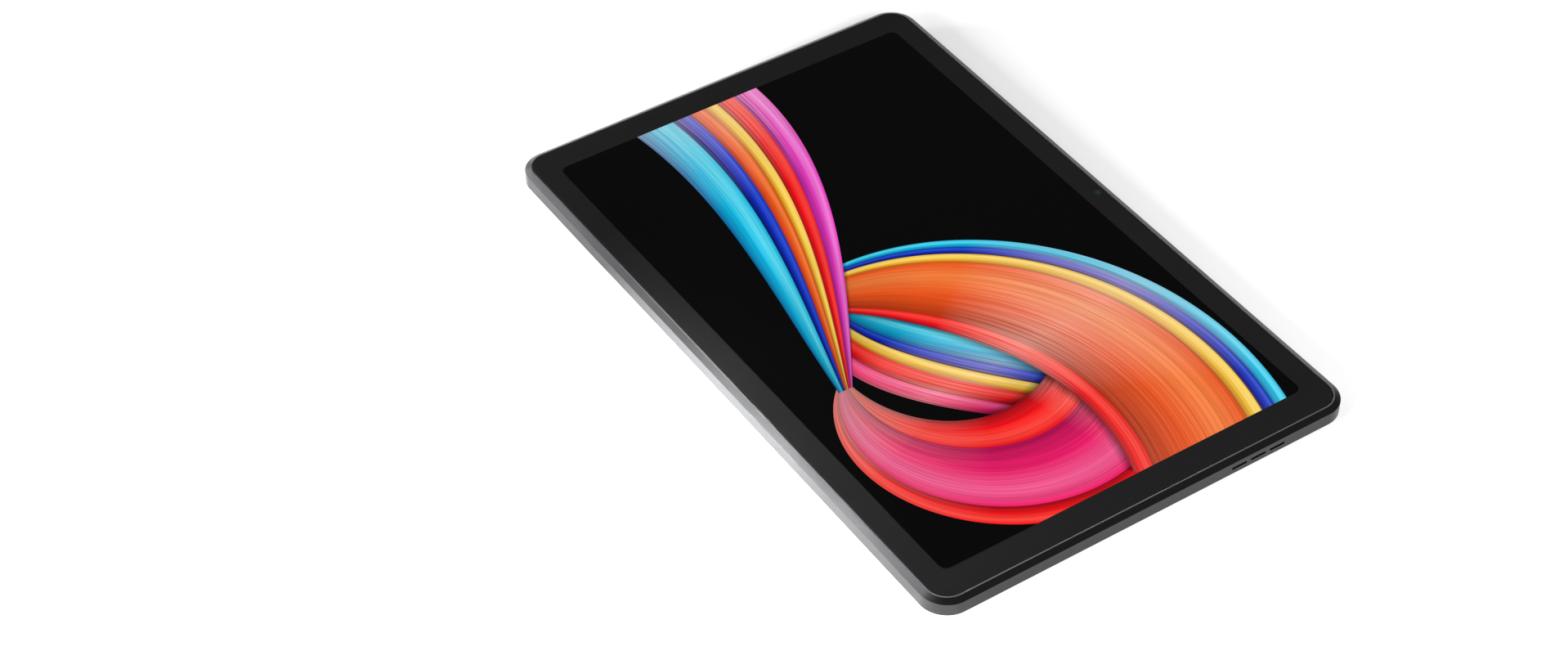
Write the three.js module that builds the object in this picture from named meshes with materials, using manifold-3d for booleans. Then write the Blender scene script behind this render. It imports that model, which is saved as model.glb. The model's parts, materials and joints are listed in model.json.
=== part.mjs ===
// A ten-inch tablet computer lying on its back, in millimetres. +X runs along the long edge, +Y
// points to the long edge that carries the keys, and +Z points out of the screen. The origin is
// below the middle of the body, level with the outer face of the camera island, the lowest face.

import * as THREE from "three";
import { mergeVertices } from "three/addons/utils/BufferGeometryUtils.js";
import Module from "manifold-3d";

const wasm = await Module();
wasm.setup();

// ---------------------------------------------------------------------------------------------
// Driving dimensions
// ---------------------------------------------------------------------------------------------

// Body: back to glass face, without the island.
const BODY_LENGTH = 241.8;
const BODY_WIDTH = 156.8;
const BODY_DEPTH = 6.9;
const CORNER_RADIUS = 9.3;
const EDGE_INSET = 1.9; // plan width of the slope at the front and back edges
const EDGE_DROP = 1.2; // height of that slope
const SIDE_WALL = 1.5;
const BACK_WALL = 0.8;

// Front: trim ring, glass and the black border round the picture.
const TRIM_LAND = 0.45; // flat top of the trim between the slope and the glass
const TRIM_SEAM = 0.1; // joint line between trim and side wall
const LEDGE_WIDTH = 1.85; // width of the ledge under the edge of the glass
const GLASS_THICKNESS = 0.7;
const ADHESIVE_SPACE = 0.2; // room for the adhesive ring under the glass
const BORDER_X = 10.2; // glass edge to picture, at the short sides
const BORDER_Y = 8.5; // glass edge to picture, at the long sides

// Display stack under the glass.
const PANEL_MARGIN = 2.4; // display panel beyond the picture on every side
const PANEL_THICKNESS = 1.0;
const DRIVER_LEDGE = 2.6; // lower panel glass that carries the driver, at the -Y side
const GUIDE_THICKNESS = 0.7;
const TRAY_SHEET = 0.2;
const PLATE_THICKNESS = 0.3;
const PLATE_CORNER = 2.0;

// Camera island on the back, in the -X +Y corner.
const ISLAND_HEIGHT = 1.15;
const ISLAND_LENGTH = 34.9; // along X, from the edge of the flat back
const ISLAND_WIDTH = 26.0; // along Y, from the edge of the flat back
const ISLAND_CORNER = 4.5; // the free corner
const ISLAND_SLOPE_INSET = 0.6;
const ISLAND_SLOPE_DROP = 0.6;
const WINDOW_RIM = 0.25; // plate left outside the window, at the short side and the free long side
const WINDOW_LENGTH = 27.8;
const WINDOW_WIDTH = 24.0;
const WINDOW_CORNER = 5.6; // the corner that follows the body's
const WINDOW_SMALL_CORNER = 0.3;
const WINDOW_THICKNESS = 0.55;
const WINDOW_SINK = 0.1; // window face below the plate's face
const LENS_FROM_END = 16.4; // lens centre from the short side of the body
const LENS_FROM_EDGE = 15.5; // lens centre from the long side of the body
const RING_RADIUS = 8.1;
const RING_WIDTH = 0.45;
const RING_DEPTH = 0.35;
const BEZEL_RADIUS = 2.9; // mouth of the cone round the lens
const BEZEL_THROAT = 2.05;
const BEZEL_RIM = 0.3;
const BARREL_RADIUS = 3.6;
const REAR_CAMERA_SIZE = 8.6;
const REAR_CAMERA_CORNER = 0.5;

// Front camera, in the border above the picture.
const FRONT_CAMERA_FROM_EDGE = 4.9; // lens centre from the long side of the body
const FRONT_CAMERA_SIZE = 4.6;
const FRONT_CAMERA_HEIGHT = 2.8;
const FRONT_BARREL_RADIUS = 1.8;
const FRONT_BARREL_HEIGHT = 0.6;
const FRONT_LENS_RADIUS = 1.3;
const FRONT_LENS_HEIGHT = 0.3;

// Keys in the +Y side wall.
const KEY_SLOT_HEIGHT = 2.3;
const ROCKER_SLOT_LENGTH = 22.3;
const ROCKER_FROM_END = 49.1; // slot centre from the -X side of the body
const POWER_SLOT_LENGTH = 10.2;
const POWER_FROM_END = 71.6;
const KEY_PROUD = 0.45;
const KEY_GAP = 0.15; // gap all round a key in its slot
const KEY_FLANGE_LIP = 1.15; // flange beyond the key at each end
const KEY_FLANGE_HEIGHT = 3.0;
const KEY_FLANGE_THICKNESS = 0.7;
const KEY_FLANGE_GAP = 0.35; // flange to the wall's inner face
const NUB_RADIUS = 0.8;
const NUB_LENGTH = 0.5; // of the power key
const POWER_SWITCH_GAP = 0.3;
const ROCKER_SWITCH_GAP = 0.2;
const ROCKER_SWITCH_SPREAD = 14.0; // distance between the two volume switches
const SWITCH_LENGTH = 3.2;
const SWITCH_DEPTH = 1.2;
const SWITCH_HEIGHT = 2.4;
const PLUNGER_RADIUS = 0.6;
const PLUNGER_LENGTH = 0.25;
const FLEX_THICKNESS = 0.12;
const BRACKET_SHEET = 0.5;
const BRACKET_FOOT = 2.0;
const BRACKET_OVERHANG = 3.0; // bracket beyond the keys at each end
const FULCRUM_WIDTH = 1.4; // rib behind the middle of the rocker

// Microphone in the +Y side wall.
const MIC_FROM_MIDDLE = 14.0;
const MIC_HOLE_RADIUS = 0.5;
const MIC_GASKET_RADIUS = 1.5;
const MIC_GASKET_LENGTH = 0.6;
const MIC_LENGTH = 3.5;
const MIC_DEPTH = 1.0;
const MIC_HEIGHT = 2.6;
const MIC_BOARD_LENGTH = 6.0;
const MIC_BOARD_HEIGHT = 3.0;
const MIC_BOARD_THICKNESS = 0.5;

// Speakers behind three slots in each short side.
const SPEAKER_SLOTS = 3;
const SPEAKER_SLOT_LENGTH = 5.9;
const SPEAKER_SLOT_HEIGHT = 0.9;
const SPEAKER_SLOT_PITCH = 7.4;
const SPEAKER_FROM_EDGE = 37.6; // middle slot's centre from the +Y side of the body
const SPEAKER_LENGTH = 34.0;
const SPEAKER_DEPTH = 7.2;
const SPEAKER_CORNER = 1.0;
const SPEAKER_PORT_DEPTH = 0.8;
const MESH_THICKNESS = 0.2;
const MESH_OVERLAP = 0.7; // cloth beyond the slots

// Port in the -X side wall.
const PORT_OPENING_WIDTH = 8.34;
const PORT_OPENING_HEIGHT = 2.56;
const PORT_SHEET = 0.3;
const PORT_LENGTH = 7.3;
const PORT_TONGUE_WIDTH = 6.69;
const PORT_TONGUE_LENGTH = 4.4;
const PORT_TONGUE_THICKNESS = 0.7;
const PORT_TONGUE_CORNER = 0.1;
const PORT_BOARD_WIDTH = 18.0;
const PORT_BOARD_LENGTH = 9.4;
const PORT_BOARD_FROM_END = 3.0;

// Boards, battery and screws.
const BOARD_THICKNESS = 0.8;
const BOARD_FROM_END = 14.0; // main board from the -X side of the body
const BOARD_FROM_EDGE = 26.0; // main board from both long sides
const BOARD_WIDTH = 50.0;
const BOARD_CORNER = 3.0;
const BOARD_LIFT = 0.45; // board above the floor of the body
const SHIELD_SHEET = 0.2;
const SHIELD_CORNER = 1.0;
const SHIELDS = [
  // name, centre from the middle of the main board along X and Y, length, width
  ["processor_shield", -8, 9, 28, 30],
  ["power_shield", -8, -20, 28, 20],
  ["radio_shield", 16, 10, 14, 26],
];
const SPREADER_LENGTH = 46.0;
const SPREADER_WIDTH = 50.0;
const SPREADER_THICKNESS = 0.15;
const SPREADER_CORNER = 2.0;
const BATTERY_CELLS = ["battery_left", "battery_right"];
const BATTERY_SPACE = 4.0; // main board to the first cell, and between cells and their board
const BATTERY_FROM_END = 14.0; // last cell from the +X side of the body
const BATTERY_FROM_EDGE = 20.0; // cells from both long sides
const BATTERY_CORNER = 2.0;
const BATTERY_BOARD_LENGTH = 60.0;
const BATTERY_BOARD_WIDTH = 3.5;
const ANTENNA_LENGTH = 36.0;
const ANTENNA_HEIGHT = 2.6;
const ANTENNA_THICKNESS = 0.3;
const ANTENNA_FROM_END = 32.0;
const RIBBON_WIDTH = 24.0;
const RIBBON_TAIL = 24.0; // ribbon beyond the driver ledge, under the display
const RIBBON_BEND = 1.3; // how far the ribbon bulges past the display stack
const CONNECTOR_LENGTH = 3.0;
const DRIVER_LENGTH = 60.0;
const DRIVER_WIDTH = 1.4;
const DRIVER_HEIGHT = 0.3;
const DRIVER_GLASS = 0.45;
const CAMERA_FLEX_WIDTH = 6.0;
const CAMERA_FLEX_OVERLAP = 1.2; // flex over the main board
const SCREW_FROM_END = 24.0; // plate screws from the short sides
const SCREW_FROM_EDGE = 5.2; // plate screws from the long sides
const SCREW_OFF_MIDDLE = 34.0; // the middle screw of the key side, clear of camera and microphone
const SCREW_RADIUS = 0.7;
const SCREW_HEAD_RADIUS = 1.35;
const SCREW_HEAD_HEIGHT = 0.5;
const BOSS_RADIUS = 1.8;
const EAR_RADIUS = 2.1;
const BOARD_SCREW_INSET = 3.2; // board screws from the board's corners

// Clearances.
const BOND = 0.02; // bond line between glued faces
const SHEET_GAP = 0.05; // between stacked sheets
const FIT = 0.1; // between a piece and the pocket or hole it sits in
const REACH = 1.0; // how far a cutter runs past the faces it cuts

// Each arc of a shape, a quarter turn or a full circle, is drawn in twice this many straight steps.
const BODY_STEPS = 6;
const SMALL_STEPS = 2;
const ROUND_STEPS = 16;
const SCREW_STEPS = 5;
const EAR_STEPS = 6; // a corner of the round end lies on each side of the straight root
const DOME_STEPS = 5; // rings of a lens's dome

// ---------------------------------------------------------------------------------------------
// Levels and places worked out from them
// ---------------------------------------------------------------------------------------------

const BACK_Z = ISLAND_HEIGHT;
const GLASS_Z = BACK_Z + BODY_DEPTH;
const FLOOR_Z = BACK_Z + BACK_WALL;
const PARTING_Z = GLASS_Z - EDGE_DROP;
const MIDDLE_Z = BACK_Z + BODY_DEPTH / 2;
const GLASS_UNDER_Z = GLASS_Z - GLASS_THICKNESS;
const LEDGE_Z = GLASS_UNDER_Z - ADHESIVE_SPACE;
const LIP_Z = MIDDLE_Z + PORT_OPENING_HEIGHT / 2 + PORT_SHEET + FIT; // ledge underside, over the port
const PANEL_TOP_Z = GLASS_UNDER_Z - FIT;
const PANEL_UNDER_Z = PANEL_TOP_Z - PANEL_THICKNESS;
const GUIDE_TOP_Z = PANEL_UNDER_Z - SHEET_GAP;
const GUIDE_UNDER_Z = GUIDE_TOP_Z - GUIDE_THICKNESS;
const TRAY_FLOOR_Z = GUIDE_UNDER_Z - SHEET_GAP;
const TRAY_UNDER_Z = TRAY_FLOOR_Z - TRAY_SHEET;
const PLATE_TOP_Z = TRAY_UNDER_Z - SHEET_GAP;
const PLATE_UNDER_Z = PLATE_TOP_Z - PLATE_THICKNESS;

const END_X = BODY_LENGTH / 2;
const EDGE_Y = BODY_WIDTH / 2;
const GLASS_INSET = EDGE_INSET + TRIM_LAND + FIT;
const PICTURE_INSET_X = EDGE_INSET + BORDER_X;
const PICTURE_INSET_Y = EDGE_INSET + BORDER_Y;
const PANEL_X = END_X - PICTURE_INSET_X + PANEL_MARGIN;
const PANEL_Y = EDGE_Y - PICTURE_INSET_Y + PANEL_MARGIN;
const WALL_X = END_X - SIDE_WALL;
const WALL_Y = EDGE_Y - SIDE_WALL;

const FLANGE_Y = WALL_Y - KEY_FLANGE_GAP - KEY_FLANGE_THICKNESS;
const PLUNGER_Y = FLANGE_Y - NUB_LENGTH - POWER_SWITCH_GAP;
const SWITCH_Y = PLUNGER_Y - PLUNGER_LENGTH;
const FLEX_Y = SWITCH_Y - SWITCH_DEPTH - BOND;
const BRACKET_Y = FLEX_Y - FLEX_THICKNESS - BOND;
const ROCKER_X = -END_X + ROCKER_FROM_END;
const POWER_X = -END_X + POWER_FROM_END;
const BRACKET_LOW_X = ROCKER_X - ROCKER_SLOT_LENGTH / 2 - BRACKET_OVERHANG;
const BRACKET_HIGH_X = POWER_X + POWER_SLOT_LENGTH / 2 + BRACKET_OVERHANG;

const LENS_X = -END_X + LENS_FROM_END;
const LENS_Y = EDGE_Y - LENS_FROM_EDGE;
const FRONT_CAMERA_Y = EDGE_Y - FRONT_CAMERA_FROM_EDGE;
const MIC_X = -MIC_FROM_MIDDLE;
const GASKET_Y = WALL_Y - FIT - MIC_GASKET_LENGTH;
const MIC_Y = GASKET_Y - BOND - MIC_DEPTH;
const MIC_BOARD_Y = MIC_Y - BOND - MIC_BOARD_THICKNESS;
const SPEAKER_Y = EDGE_Y - SPEAKER_FROM_EDGE;

const BOARD_LOW_X = -END_X + BOARD_FROM_END;
const BOARD_HIGH_X = BOARD_LOW_X + BOARD_WIDTH;
const BOARD_Y = EDGE_Y - BOARD_FROM_EDGE;
const BOARD_UNDER_Z = FLOOR_Z + BOARD_LIFT;
const BOARD_TOP_Z = BOARD_UNDER_Z + BOARD_THICKNESS;
const BOARD_X = (BOARD_LOW_X + BOARD_HIGH_X) / 2;
const SPREADER_Z = PLATE_UNDER_Z - SHEET_GAP - SPREADER_THICKNESS;
const SHIELD_TOP_Z = SPREADER_Z - SHEET_GAP;
const BATTERY_Y = EDGE_Y - BATTERY_FROM_EDGE;
const BATTERY_LOW_X = BOARD_HIGH_X + BATTERY_SPACE;
const BATTERY_HIGH_X = END_X - BATTERY_FROM_END;

const ISLAND_LOW_X = -END_X + EDGE_INSET;
const ISLAND_HIGH_X = ISLAND_LOW_X + ISLAND_LENGTH;
const ISLAND_LOW_Y = EDGE_Y - EDGE_INSET - ISLAND_WIDTH;
const WINDOW_LOW_X = ISLAND_LOW_X + ISLAND_SLOPE_INSET + WINDOW_RIM;
const WINDOW_LOW_Y = ISLAND_LOW_Y + WINDOW_RIM;
const WINDOW_BACK_Z = WINDOW_SINK + WINDOW_THICKNESS;
const BARREL_Z = WINDOW_BACK_Z + FIT;

const PLATE_SCREWS = [
  [-END_X + SCREW_FROM_END, EDGE_Y - SCREW_FROM_EDGE],
  [SCREW_OFF_MIDDLE, EDGE_Y - SCREW_FROM_EDGE],
  [END_X - SCREW_FROM_END, EDGE_Y - SCREW_FROM_EDGE],
  [-END_X + SCREW_FROM_END, -EDGE_Y + SCREW_FROM_EDGE],
  [SCREW_OFF_MIDDLE, -EDGE_Y + SCREW_FROM_EDGE],
  [END_X - SCREW_FROM_END, -EDGE_Y + SCREW_FROM_EDGE],
];
const BOARD_SCREWS = [
  [BOARD_LOW_X + BOARD_SCREW_INSET, -BOARD_Y + BOARD_SCREW_INSET],
  [BOARD_HIGH_X - BOARD_SCREW_INSET, -BOARD_Y + BOARD_SCREW_INSET],
  [BOARD_LOW_X + BOARD_SCREW_INSET, BOARD_Y - BOARD_SCREW_INSET],
  [BOARD_HIGH_X - BOARD_SCREW_INSET, BOARD_Y - BOARD_SCREW_INSET],
];

// ---------------------------------------------------------------------------------------------
// Shapes and solids
// ---------------------------------------------------------------------------------------------

// A rectangle with a radius for each corner, in the order -X-Y, +X-Y, +X+Y, -X+Y.
function rectangle(lowX, lowY, highX, highY, radii) {
  const [a, b, c, d] = radii;
  const shape = new THREE.Shape();
  shape.moveTo(lowX + a, lowY);
  shape.lineTo(highX - b, lowY);
  if (b > 0) shape.absarc(highX - b, lowY + b, b, -Math.PI / 2, 0);
  shape.lineTo(highX, highY - c);
  if (c > 0) shape.absarc(highX - c, highY - c, c, 0, Math.PI / 2);
  shape.lineTo(lowX + d, highY);
  if (d > 0) shape.absarc(lowX + d, highY - d, d, Math.PI / 2, Math.PI);
  shape.lineTo(lowX, lowY + a);
  if (a > 0) shape.absarc(lowX + a, lowY + a, a, Math.PI, Math.PI * 1.5);
  return shape;
}

const SQUARE = [0, 0, 0, 0]; // corners without a radius

// A rectangle about a centre, with one radius for all corners.
function block(x, y, length, width, radius = 0) {
  const [halfX, halfY] = [length / 2, width / 2];
  return rectangle(x - halfX, y - halfY, x + halfX, y + halfY, [radius, radius, radius, radius]);
}

// The body's outline, drawn in by the same distance on every side.
function bodyOutline(inset) {
  return block(0, 0, BODY_LENGTH - 2 * inset, BODY_WIDTH - 2 * inset, CORNER_RADIUS - inset);
}

function circle(x, y, radius) {
  return new THREE.Shape().absarc(x, y, radius, 0, Math.PI * 2);
}

// Prisms along the three axes. A shape's own x and y are X and Y, then X and Z, then Y and Z.
function prismZ(shape, lowZ, highZ, steps = SMALL_STEPS) {
  const settings = { depth: highZ - lowZ, bevelEnabled: false, curveSegments: steps };
  return new THREE.ExtrudeGeometry(shape, settings).translate(0, 0, lowZ);
}

function prismY(shape, lowY, highY, steps = SMALL_STEPS) {
  return prismZ(shape, -highY, -lowY, steps).rotateX(Math.PI / 2);
}

function prismX(shape, lowX, highX, steps = SMALL_STEPS) {
  const [y, z, x] = [new THREE.Vector3(0, 1, 0), new THREE.Vector3(0, 0, 1), new THREE.Vector3(1, 0, 0)];
  return prismZ(shape, lowX, highX, steps).applyMatrix4(new THREE.Matrix4().makeBasis(y, z, x));
}

// A round piece about a Z axis at x, y, from a closed outline of [radius, z] points.
function turned(outline, x, y, steps = ROUND_STEPS) {
  const points = outline.map(([radius, z]) => new THREE.Vector2(radius, z));
  return new THREE.LatheGeometry(points, 2 * steps).rotateX(Math.PI / 2).translate(x, y, 0);
}

function solid(geometry) {
  const bare = geometry.clone();
  bare.deleteAttribute("normal");
  bare.deleteAttribute("uv");
  const merged = mergeVertices(bare, 1e-5);
  const vertProperties = new Float32Array(merged.attributes.position.array);
  const triVerts = new Uint32Array(merged.index.array);
  return new wasm.Manifold(new wasm.Mesh({ numProp: 3, vertProperties, triVerts }));
}

function surface(manifold) {
  const mesh = manifold.getMesh();
  const geometry = new THREE.BufferGeometry();
  geometry.setAttribute("position", new THREE.BufferAttribute(mesh.vertProperties, 3));
  geometry.setIndex(new THREE.BufferAttribute(mesh.triVerts, 1));
  geometry.computeVertexNormals();
  return geometry;
}

function cut(geometry, tools) {
  return surface(tools.reduce((left, tool) => left.subtract(solid(tool)), solid(geometry)));
}

function join(pieces) {
  return surface(pieces.map(solid).reduce((sum, piece) => sum.add(piece)));
}

function common(a, b) {
  return surface(solid(a).intersect(solid(b)));
}

// ---------------------------------------------------------------------------------------------
// Materials
// ---------------------------------------------------------------------------------------------

function finish(color, roughness, metalness) {
  return new THREE.MeshStandardMaterial({ color, roughness, metalness });
}

const darkMetal = () => finish(0x3a3a3c, 0.45, 0.9);
const keyMetal = () => finish(0x9b999b, 0.35, 0.9);
const brightMetal = () => finish(0xb9b9bb, 0.3, 1.0);
const blackGlass = () => finish(0x121213, 0.08, 0.0);
const clearGlass = () => finish(0x33404a, 0.03, 0.0);
const blackPlastic = () => finish(0x17171a, 0.6, 0.0);
const board = () => finish(0x14402a, 0.55, 0.1);
const amberFilm = () => finish(0x9a5b1c, 0.5, 0.0);
const foil = () => finish(0x8d9094, 0.4, 0.6);
const whiteSheet = () => finish(0xe8e8e4, 0.7, 0.0);

// ---------------------------------------------------------------------------------------------
// Body
// ---------------------------------------------------------------------------------------------

// The whole outer form: straight sides with a slope at the front and back edges.
function bodyForm() {
  const form = new THREE.ExtrudeGeometry(bodyOutline(0), {
    depth: BODY_DEPTH - 2 * EDGE_DROP,
    bevelThickness: EDGE_DROP,
    bevelSize: EDGE_INSET,
    bevelOffset: -EDGE_INSET,
    bevelSegments: 1,
    curveSegments: BODY_STEPS,
  });
  return form.translate(0, 0, BACK_Z + EDGE_DROP);
}

// A slab that covers the whole plan between two heights.
function slab(lowZ, highZ) {
  return prismZ(block(0, 0, BODY_LENGTH + 2 * REACH, BODY_WIDTH + 2 * REACH), lowZ, highZ);
}

function keySlot(x, length) {
  const shape = block(x, MIDDLE_Z, length, KEY_SLOT_HEIGHT, KEY_SLOT_HEIGHT / 2);
  return prismY(shape, WALL_Y - REACH, EDGE_Y + REACH);
}

function speakerSlots(lowX, highX) {
  const slots = [];
  for (let i = 0; i < SPEAKER_SLOTS; i += 1) {
    const y = SPEAKER_Y + (i - (SPEAKER_SLOTS - 1) / 2) * SPEAKER_SLOT_PITCH;
    const shape = block(y, MIDDLE_Z, SPEAKER_SLOT_LENGTH, SPEAKER_SLOT_HEIGHT, SPEAKER_SLOT_HEIGHT / 2);
    slots.push(prismX(shape, lowX, highX));
  }
  return slots;
}

// The port's outer outline in Y and Z, grown by a clearance.
function portOutline(grow) {
  const width = PORT_OPENING_WIDTH + 2 * PORT_SHEET + 2 * grow;
  const height = PORT_OPENING_HEIGHT + 2 * PORT_SHEET + 2 * grow;
  return block(0, MIDDLE_Z, width, height, height / 2);
}

function boss([x, y], highZ) {
  return prismZ(circle(x, y, BOSS_RADIUS), FLOOR_Z - BACK_WALL / 2, highZ, SCREW_STEPS);
}

function screwHole([x, y], lowZ, highZ) {
  return prismZ(circle(x, y, SCREW_RADIUS + FIT), lowZ, highZ, SCREW_STEPS);
}

function rearShell() {
  const cavity = prismZ(bodyOutline(SIDE_WALL), FLOOR_Z, GLASS_Z + REACH, BODY_STEPS);
  const tray = cut(bodyForm(), [slab(PARTING_Z, GLASS_Z + REACH), cavity]);
  const plateBossZ = PLATE_UNDER_Z - SHEET_GAP;
  const bosses = [
    ...PLATE_SCREWS.map((place) => boss(place, plateBossZ)),
    ...BOARD_SCREWS.map((place) => boss(place, BOARD_UNDER_Z - BOND)),
  ];
  const microphoneHole = prismY(circle(MIC_X, MIDDLE_Z, MIC_HOLE_RADIUS), WALL_Y - REACH, EDGE_Y + REACH);
  const cameraHole = circle(LENS_X, LENS_Y, BARREL_RADIUS + FIT);
  return cut(join([tray, ...bosses]), [
    ...PLATE_SCREWS.map((place) => screwHole(place, FLOOR_Z, PLATE_UNDER_Z)),
    ...BOARD_SCREWS.map((place) => screwHole(place, FLOOR_Z, BOARD_UNDER_Z)),
    keySlot(ROCKER_X, ROCKER_SLOT_LENGTH),
    keySlot(POWER_X, POWER_SLOT_LENGTH),
    microphoneHole,
    ...speakerSlots(WALL_X - REACH, END_X + REACH),
    ...speakerSlots(-END_X - REACH, -WALL_X + REACH),
    prismX(portOutline(FIT), -END_X - REACH, -WALL_X + REACH),
    prismZ(cameraHole, BACK_Z - REACH, FLOOR_Z + REACH, ROUND_STEPS),
  ]);
}

// The space that the front camera needs in the ledge and in the adhesive.
function frontCameraNotch(highZ) {
  const size = FRONT_CAMERA_SIZE + 2 * FIT;
  return prismZ(block(0, FRONT_CAMERA_Y, size, size), LIP_Z - REACH, highZ);
}

function frontTrim() {
  const slope = common(bodyForm(), slab(PARTING_Z + TRIM_SEAM, GLASS_Z + REACH));
  const ledge = prismZ(bodyOutline(SIDE_WALL + FIT), LIP_Z, LEDGE_Z, BODY_STEPS);
  const glassPocket = bodyOutline(EDGE_INSET + TRIM_LAND);
  const middle = bodyOutline(GLASS_INSET + LEDGE_WIDTH);
  return cut(join([slope, ledge]), [
    prismZ(glassPocket, LEDGE_Z, GLASS_Z + REACH, BODY_STEPS),
    prismZ(middle, LIP_Z - REACH, GLASS_Z + REACH, BODY_STEPS),
    frontCameraNotch(LEDGE_Z + FIT),
  ]);
}

function coverGlass() {
  return prismZ(bodyOutline(GLASS_INSET), GLASS_UNDER_Z, GLASS_Z, BODY_STEPS);
}

function glassAdhesive() {
  const [lowZ, highZ] = [LEDGE_Z + BOND, GLASS_UNDER_Z - BOND];
  const outside = prismZ(bodyOutline(GLASS_INSET + FIT), lowZ, highZ, BODY_STEPS);
  const inside = bodyOutline(GLASS_INSET + LEDGE_WIDTH - FIT);
  return cut(outside, [
    prismZ(inside, lowZ - REACH, highZ + REACH, BODY_STEPS),
    frontCameraNotch(GLASS_UNDER_Z),
  ]);
}

// ---------------------------------------------------------------------------------------------
// Display
// ---------------------------------------------------------------------------------------------

// The panel's outline in Y and Z: two sheets of glass, the lower one wider at the driver's side.
function displayPanel() {
  const outline = new THREE.Shape();
  outline.moveTo(-PANEL_Y - DRIVER_LEDGE, PANEL_UNDER_Z);
  outline.lineTo(PANEL_Y, PANEL_UNDER_Z);
  outline.lineTo(PANEL_Y, PANEL_TOP_Z);
  outline.lineTo(-PANEL_Y, PANEL_TOP_Z);
  outline.lineTo(-PANEL_Y, PANEL_UNDER_Z + DRIVER_GLASS);
  outline.lineTo(-PANEL_Y - DRIVER_LEDGE, PANEL_UNDER_Z + DRIVER_GLASS);
  return prismX(outline, -PANEL_X, PANEL_X);
}

function displayDriver() {
  const y = -PANEL_Y - DRIVER_LEDGE / 2;
  const lowZ = PANEL_UNDER_Z + DRIVER_GLASS + BOND;
  return prismZ(block(0, y, DRIVER_LENGTH, DRIVER_WIDTH), lowZ, lowZ + DRIVER_HEIGHT);
}

function backlightGuide() {
  const rim = TRAY_SHEET + FIT;
  const shape = block(0, 0, 2 * (PANEL_X - rim), 2 * (PANEL_Y - rim));
  return prismZ(shape, GUIDE_UNDER_Z, GUIDE_TOP_Z);
}

function backlightTray() {
  const pan = prismZ(block(0, 0, 2 * PANEL_X, 2 * PANEL_Y), TRAY_UNDER_Z, GUIDE_TOP_Z);
  const inside = block(0, 0, 2 * (PANEL_X - TRAY_SHEET), 2 * (PANEL_Y - TRAY_SHEET));
  return cut(pan, [prismZ(inside, TRAY_FLOOR_Z, GUIDE_TOP_Z + REACH)]);
}

// The sheet that carries the display, with an ear at each screw.
function supportPlate() {
  const sheet = prismZ(block(0, 0, 2 * PANEL_X, 2 * PANEL_Y, PLATE_CORNER), PLATE_UNDER_Z, PLATE_TOP_Z);
  const ears = PLATE_SCREWS.map(([x, y]) => {
    const root = block(x, y - Math.sign(y) * EAR_RADIUS, 2 * EAR_RADIUS, 2 * EAR_RADIUS);
    return join([
      prismZ(root, PLATE_UNDER_Z, PLATE_TOP_Z),
      prismZ(circle(x, y, EAR_RADIUS), PLATE_UNDER_Z, PLATE_TOP_Z, EAR_STEPS),
    ]);
  });
  const holes = PLATE_SCREWS.map((place) => screwHole(place, PLATE_UNDER_Z - REACH, PLATE_TOP_Z + REACH));
  return cut(join([sheet, ...ears]), holes);
}

// The ribbon leaves the underside of the driver's glass, turns round the edge of the stack and
// runs back under the support plate to the main board.
function displayFlex() {
  const topZ = PANEL_UNDER_Z - BOND;
  const lowZ = PLATE_UNDER_Z - SHEET_GAP - FLEX_THICKNESS;
  const [centreZ, outer] = [(topZ + lowZ) / 2, (topZ - lowZ) / 2];
  const inner = outer - FLEX_THICKNESS;
  const turnY = -PANEL_Y - RIBBON_BEND;
  const outline = new THREE.Shape();
  outline.moveTo(-PANEL_Y - FIT, topZ);
  outline.lineTo(turnY, topZ);
  outline.absarc(turnY, centreZ, outer, Math.PI / 2, Math.PI * 1.5);
  outline.lineTo(-PANEL_Y + RIBBON_TAIL, lowZ);
  outline.lineTo(-PANEL_Y + RIBBON_TAIL, lowZ + FLEX_THICKNESS);
  outline.lineTo(turnY, lowZ + FLEX_THICKNESS);
  outline.absarc(turnY, centreZ, inner, Math.PI * 1.5, Math.PI / 2, true);
  outline.lineTo(-PANEL_Y - FIT, topZ - FLEX_THICKNESS);
  return prismX(outline, BOARD_X - RIBBON_WIDTH / 2, BOARD_X + RIBBON_WIDTH / 2);
}

function displayConnector() {
  const y = -PANEL_Y + RIBBON_TAIL - CONNECTOR_LENGTH / 2;
  const highZ = PLATE_UNDER_Z - SHEET_GAP - FLEX_THICKNESS - BOND;
  return prismZ(block(BOARD_X, y, RIBBON_WIDTH, CONNECTOR_LENGTH), BOARD_TOP_Z + BOND, highZ);
}

// ---------------------------------------------------------------------------------------------
// Camera island
// ---------------------------------------------------------------------------------------------

// A plate that covers the whole flat back, with the island's sloping edge all round.
function islandForm() {
  const form = new THREE.ExtrudeGeometry(bodyOutline(EDGE_INSET), {
    depth: ISLAND_HEIGHT,
    bevelThickness: ISLAND_SLOPE_DROP,
    bevelSize: ISLAND_SLOPE_INSET,
    bevelOffset: -ISLAND_SLOPE_INSET,
    bevelSegments: 1,
    curveSegments: BODY_STEPS,
  });
  return form.translate(0, 0, ISLAND_SLOPE_DROP);
}

function windowOutline(grow) {
  const small = WINDOW_SMALL_CORNER + grow;
  const large = WINDOW_CORNER + grow;
  const [lowX, lowY] = [WINDOW_LOW_X - grow, WINDOW_LOW_Y - grow];
  const [highX, highY] = [WINDOW_LOW_X + WINDOW_LENGTH + grow, WINDOW_LOW_Y + WINDOW_WIDTH + grow];
  return rectangle(lowX, lowY, highX, highY, [small, small, small, large]);
}

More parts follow.
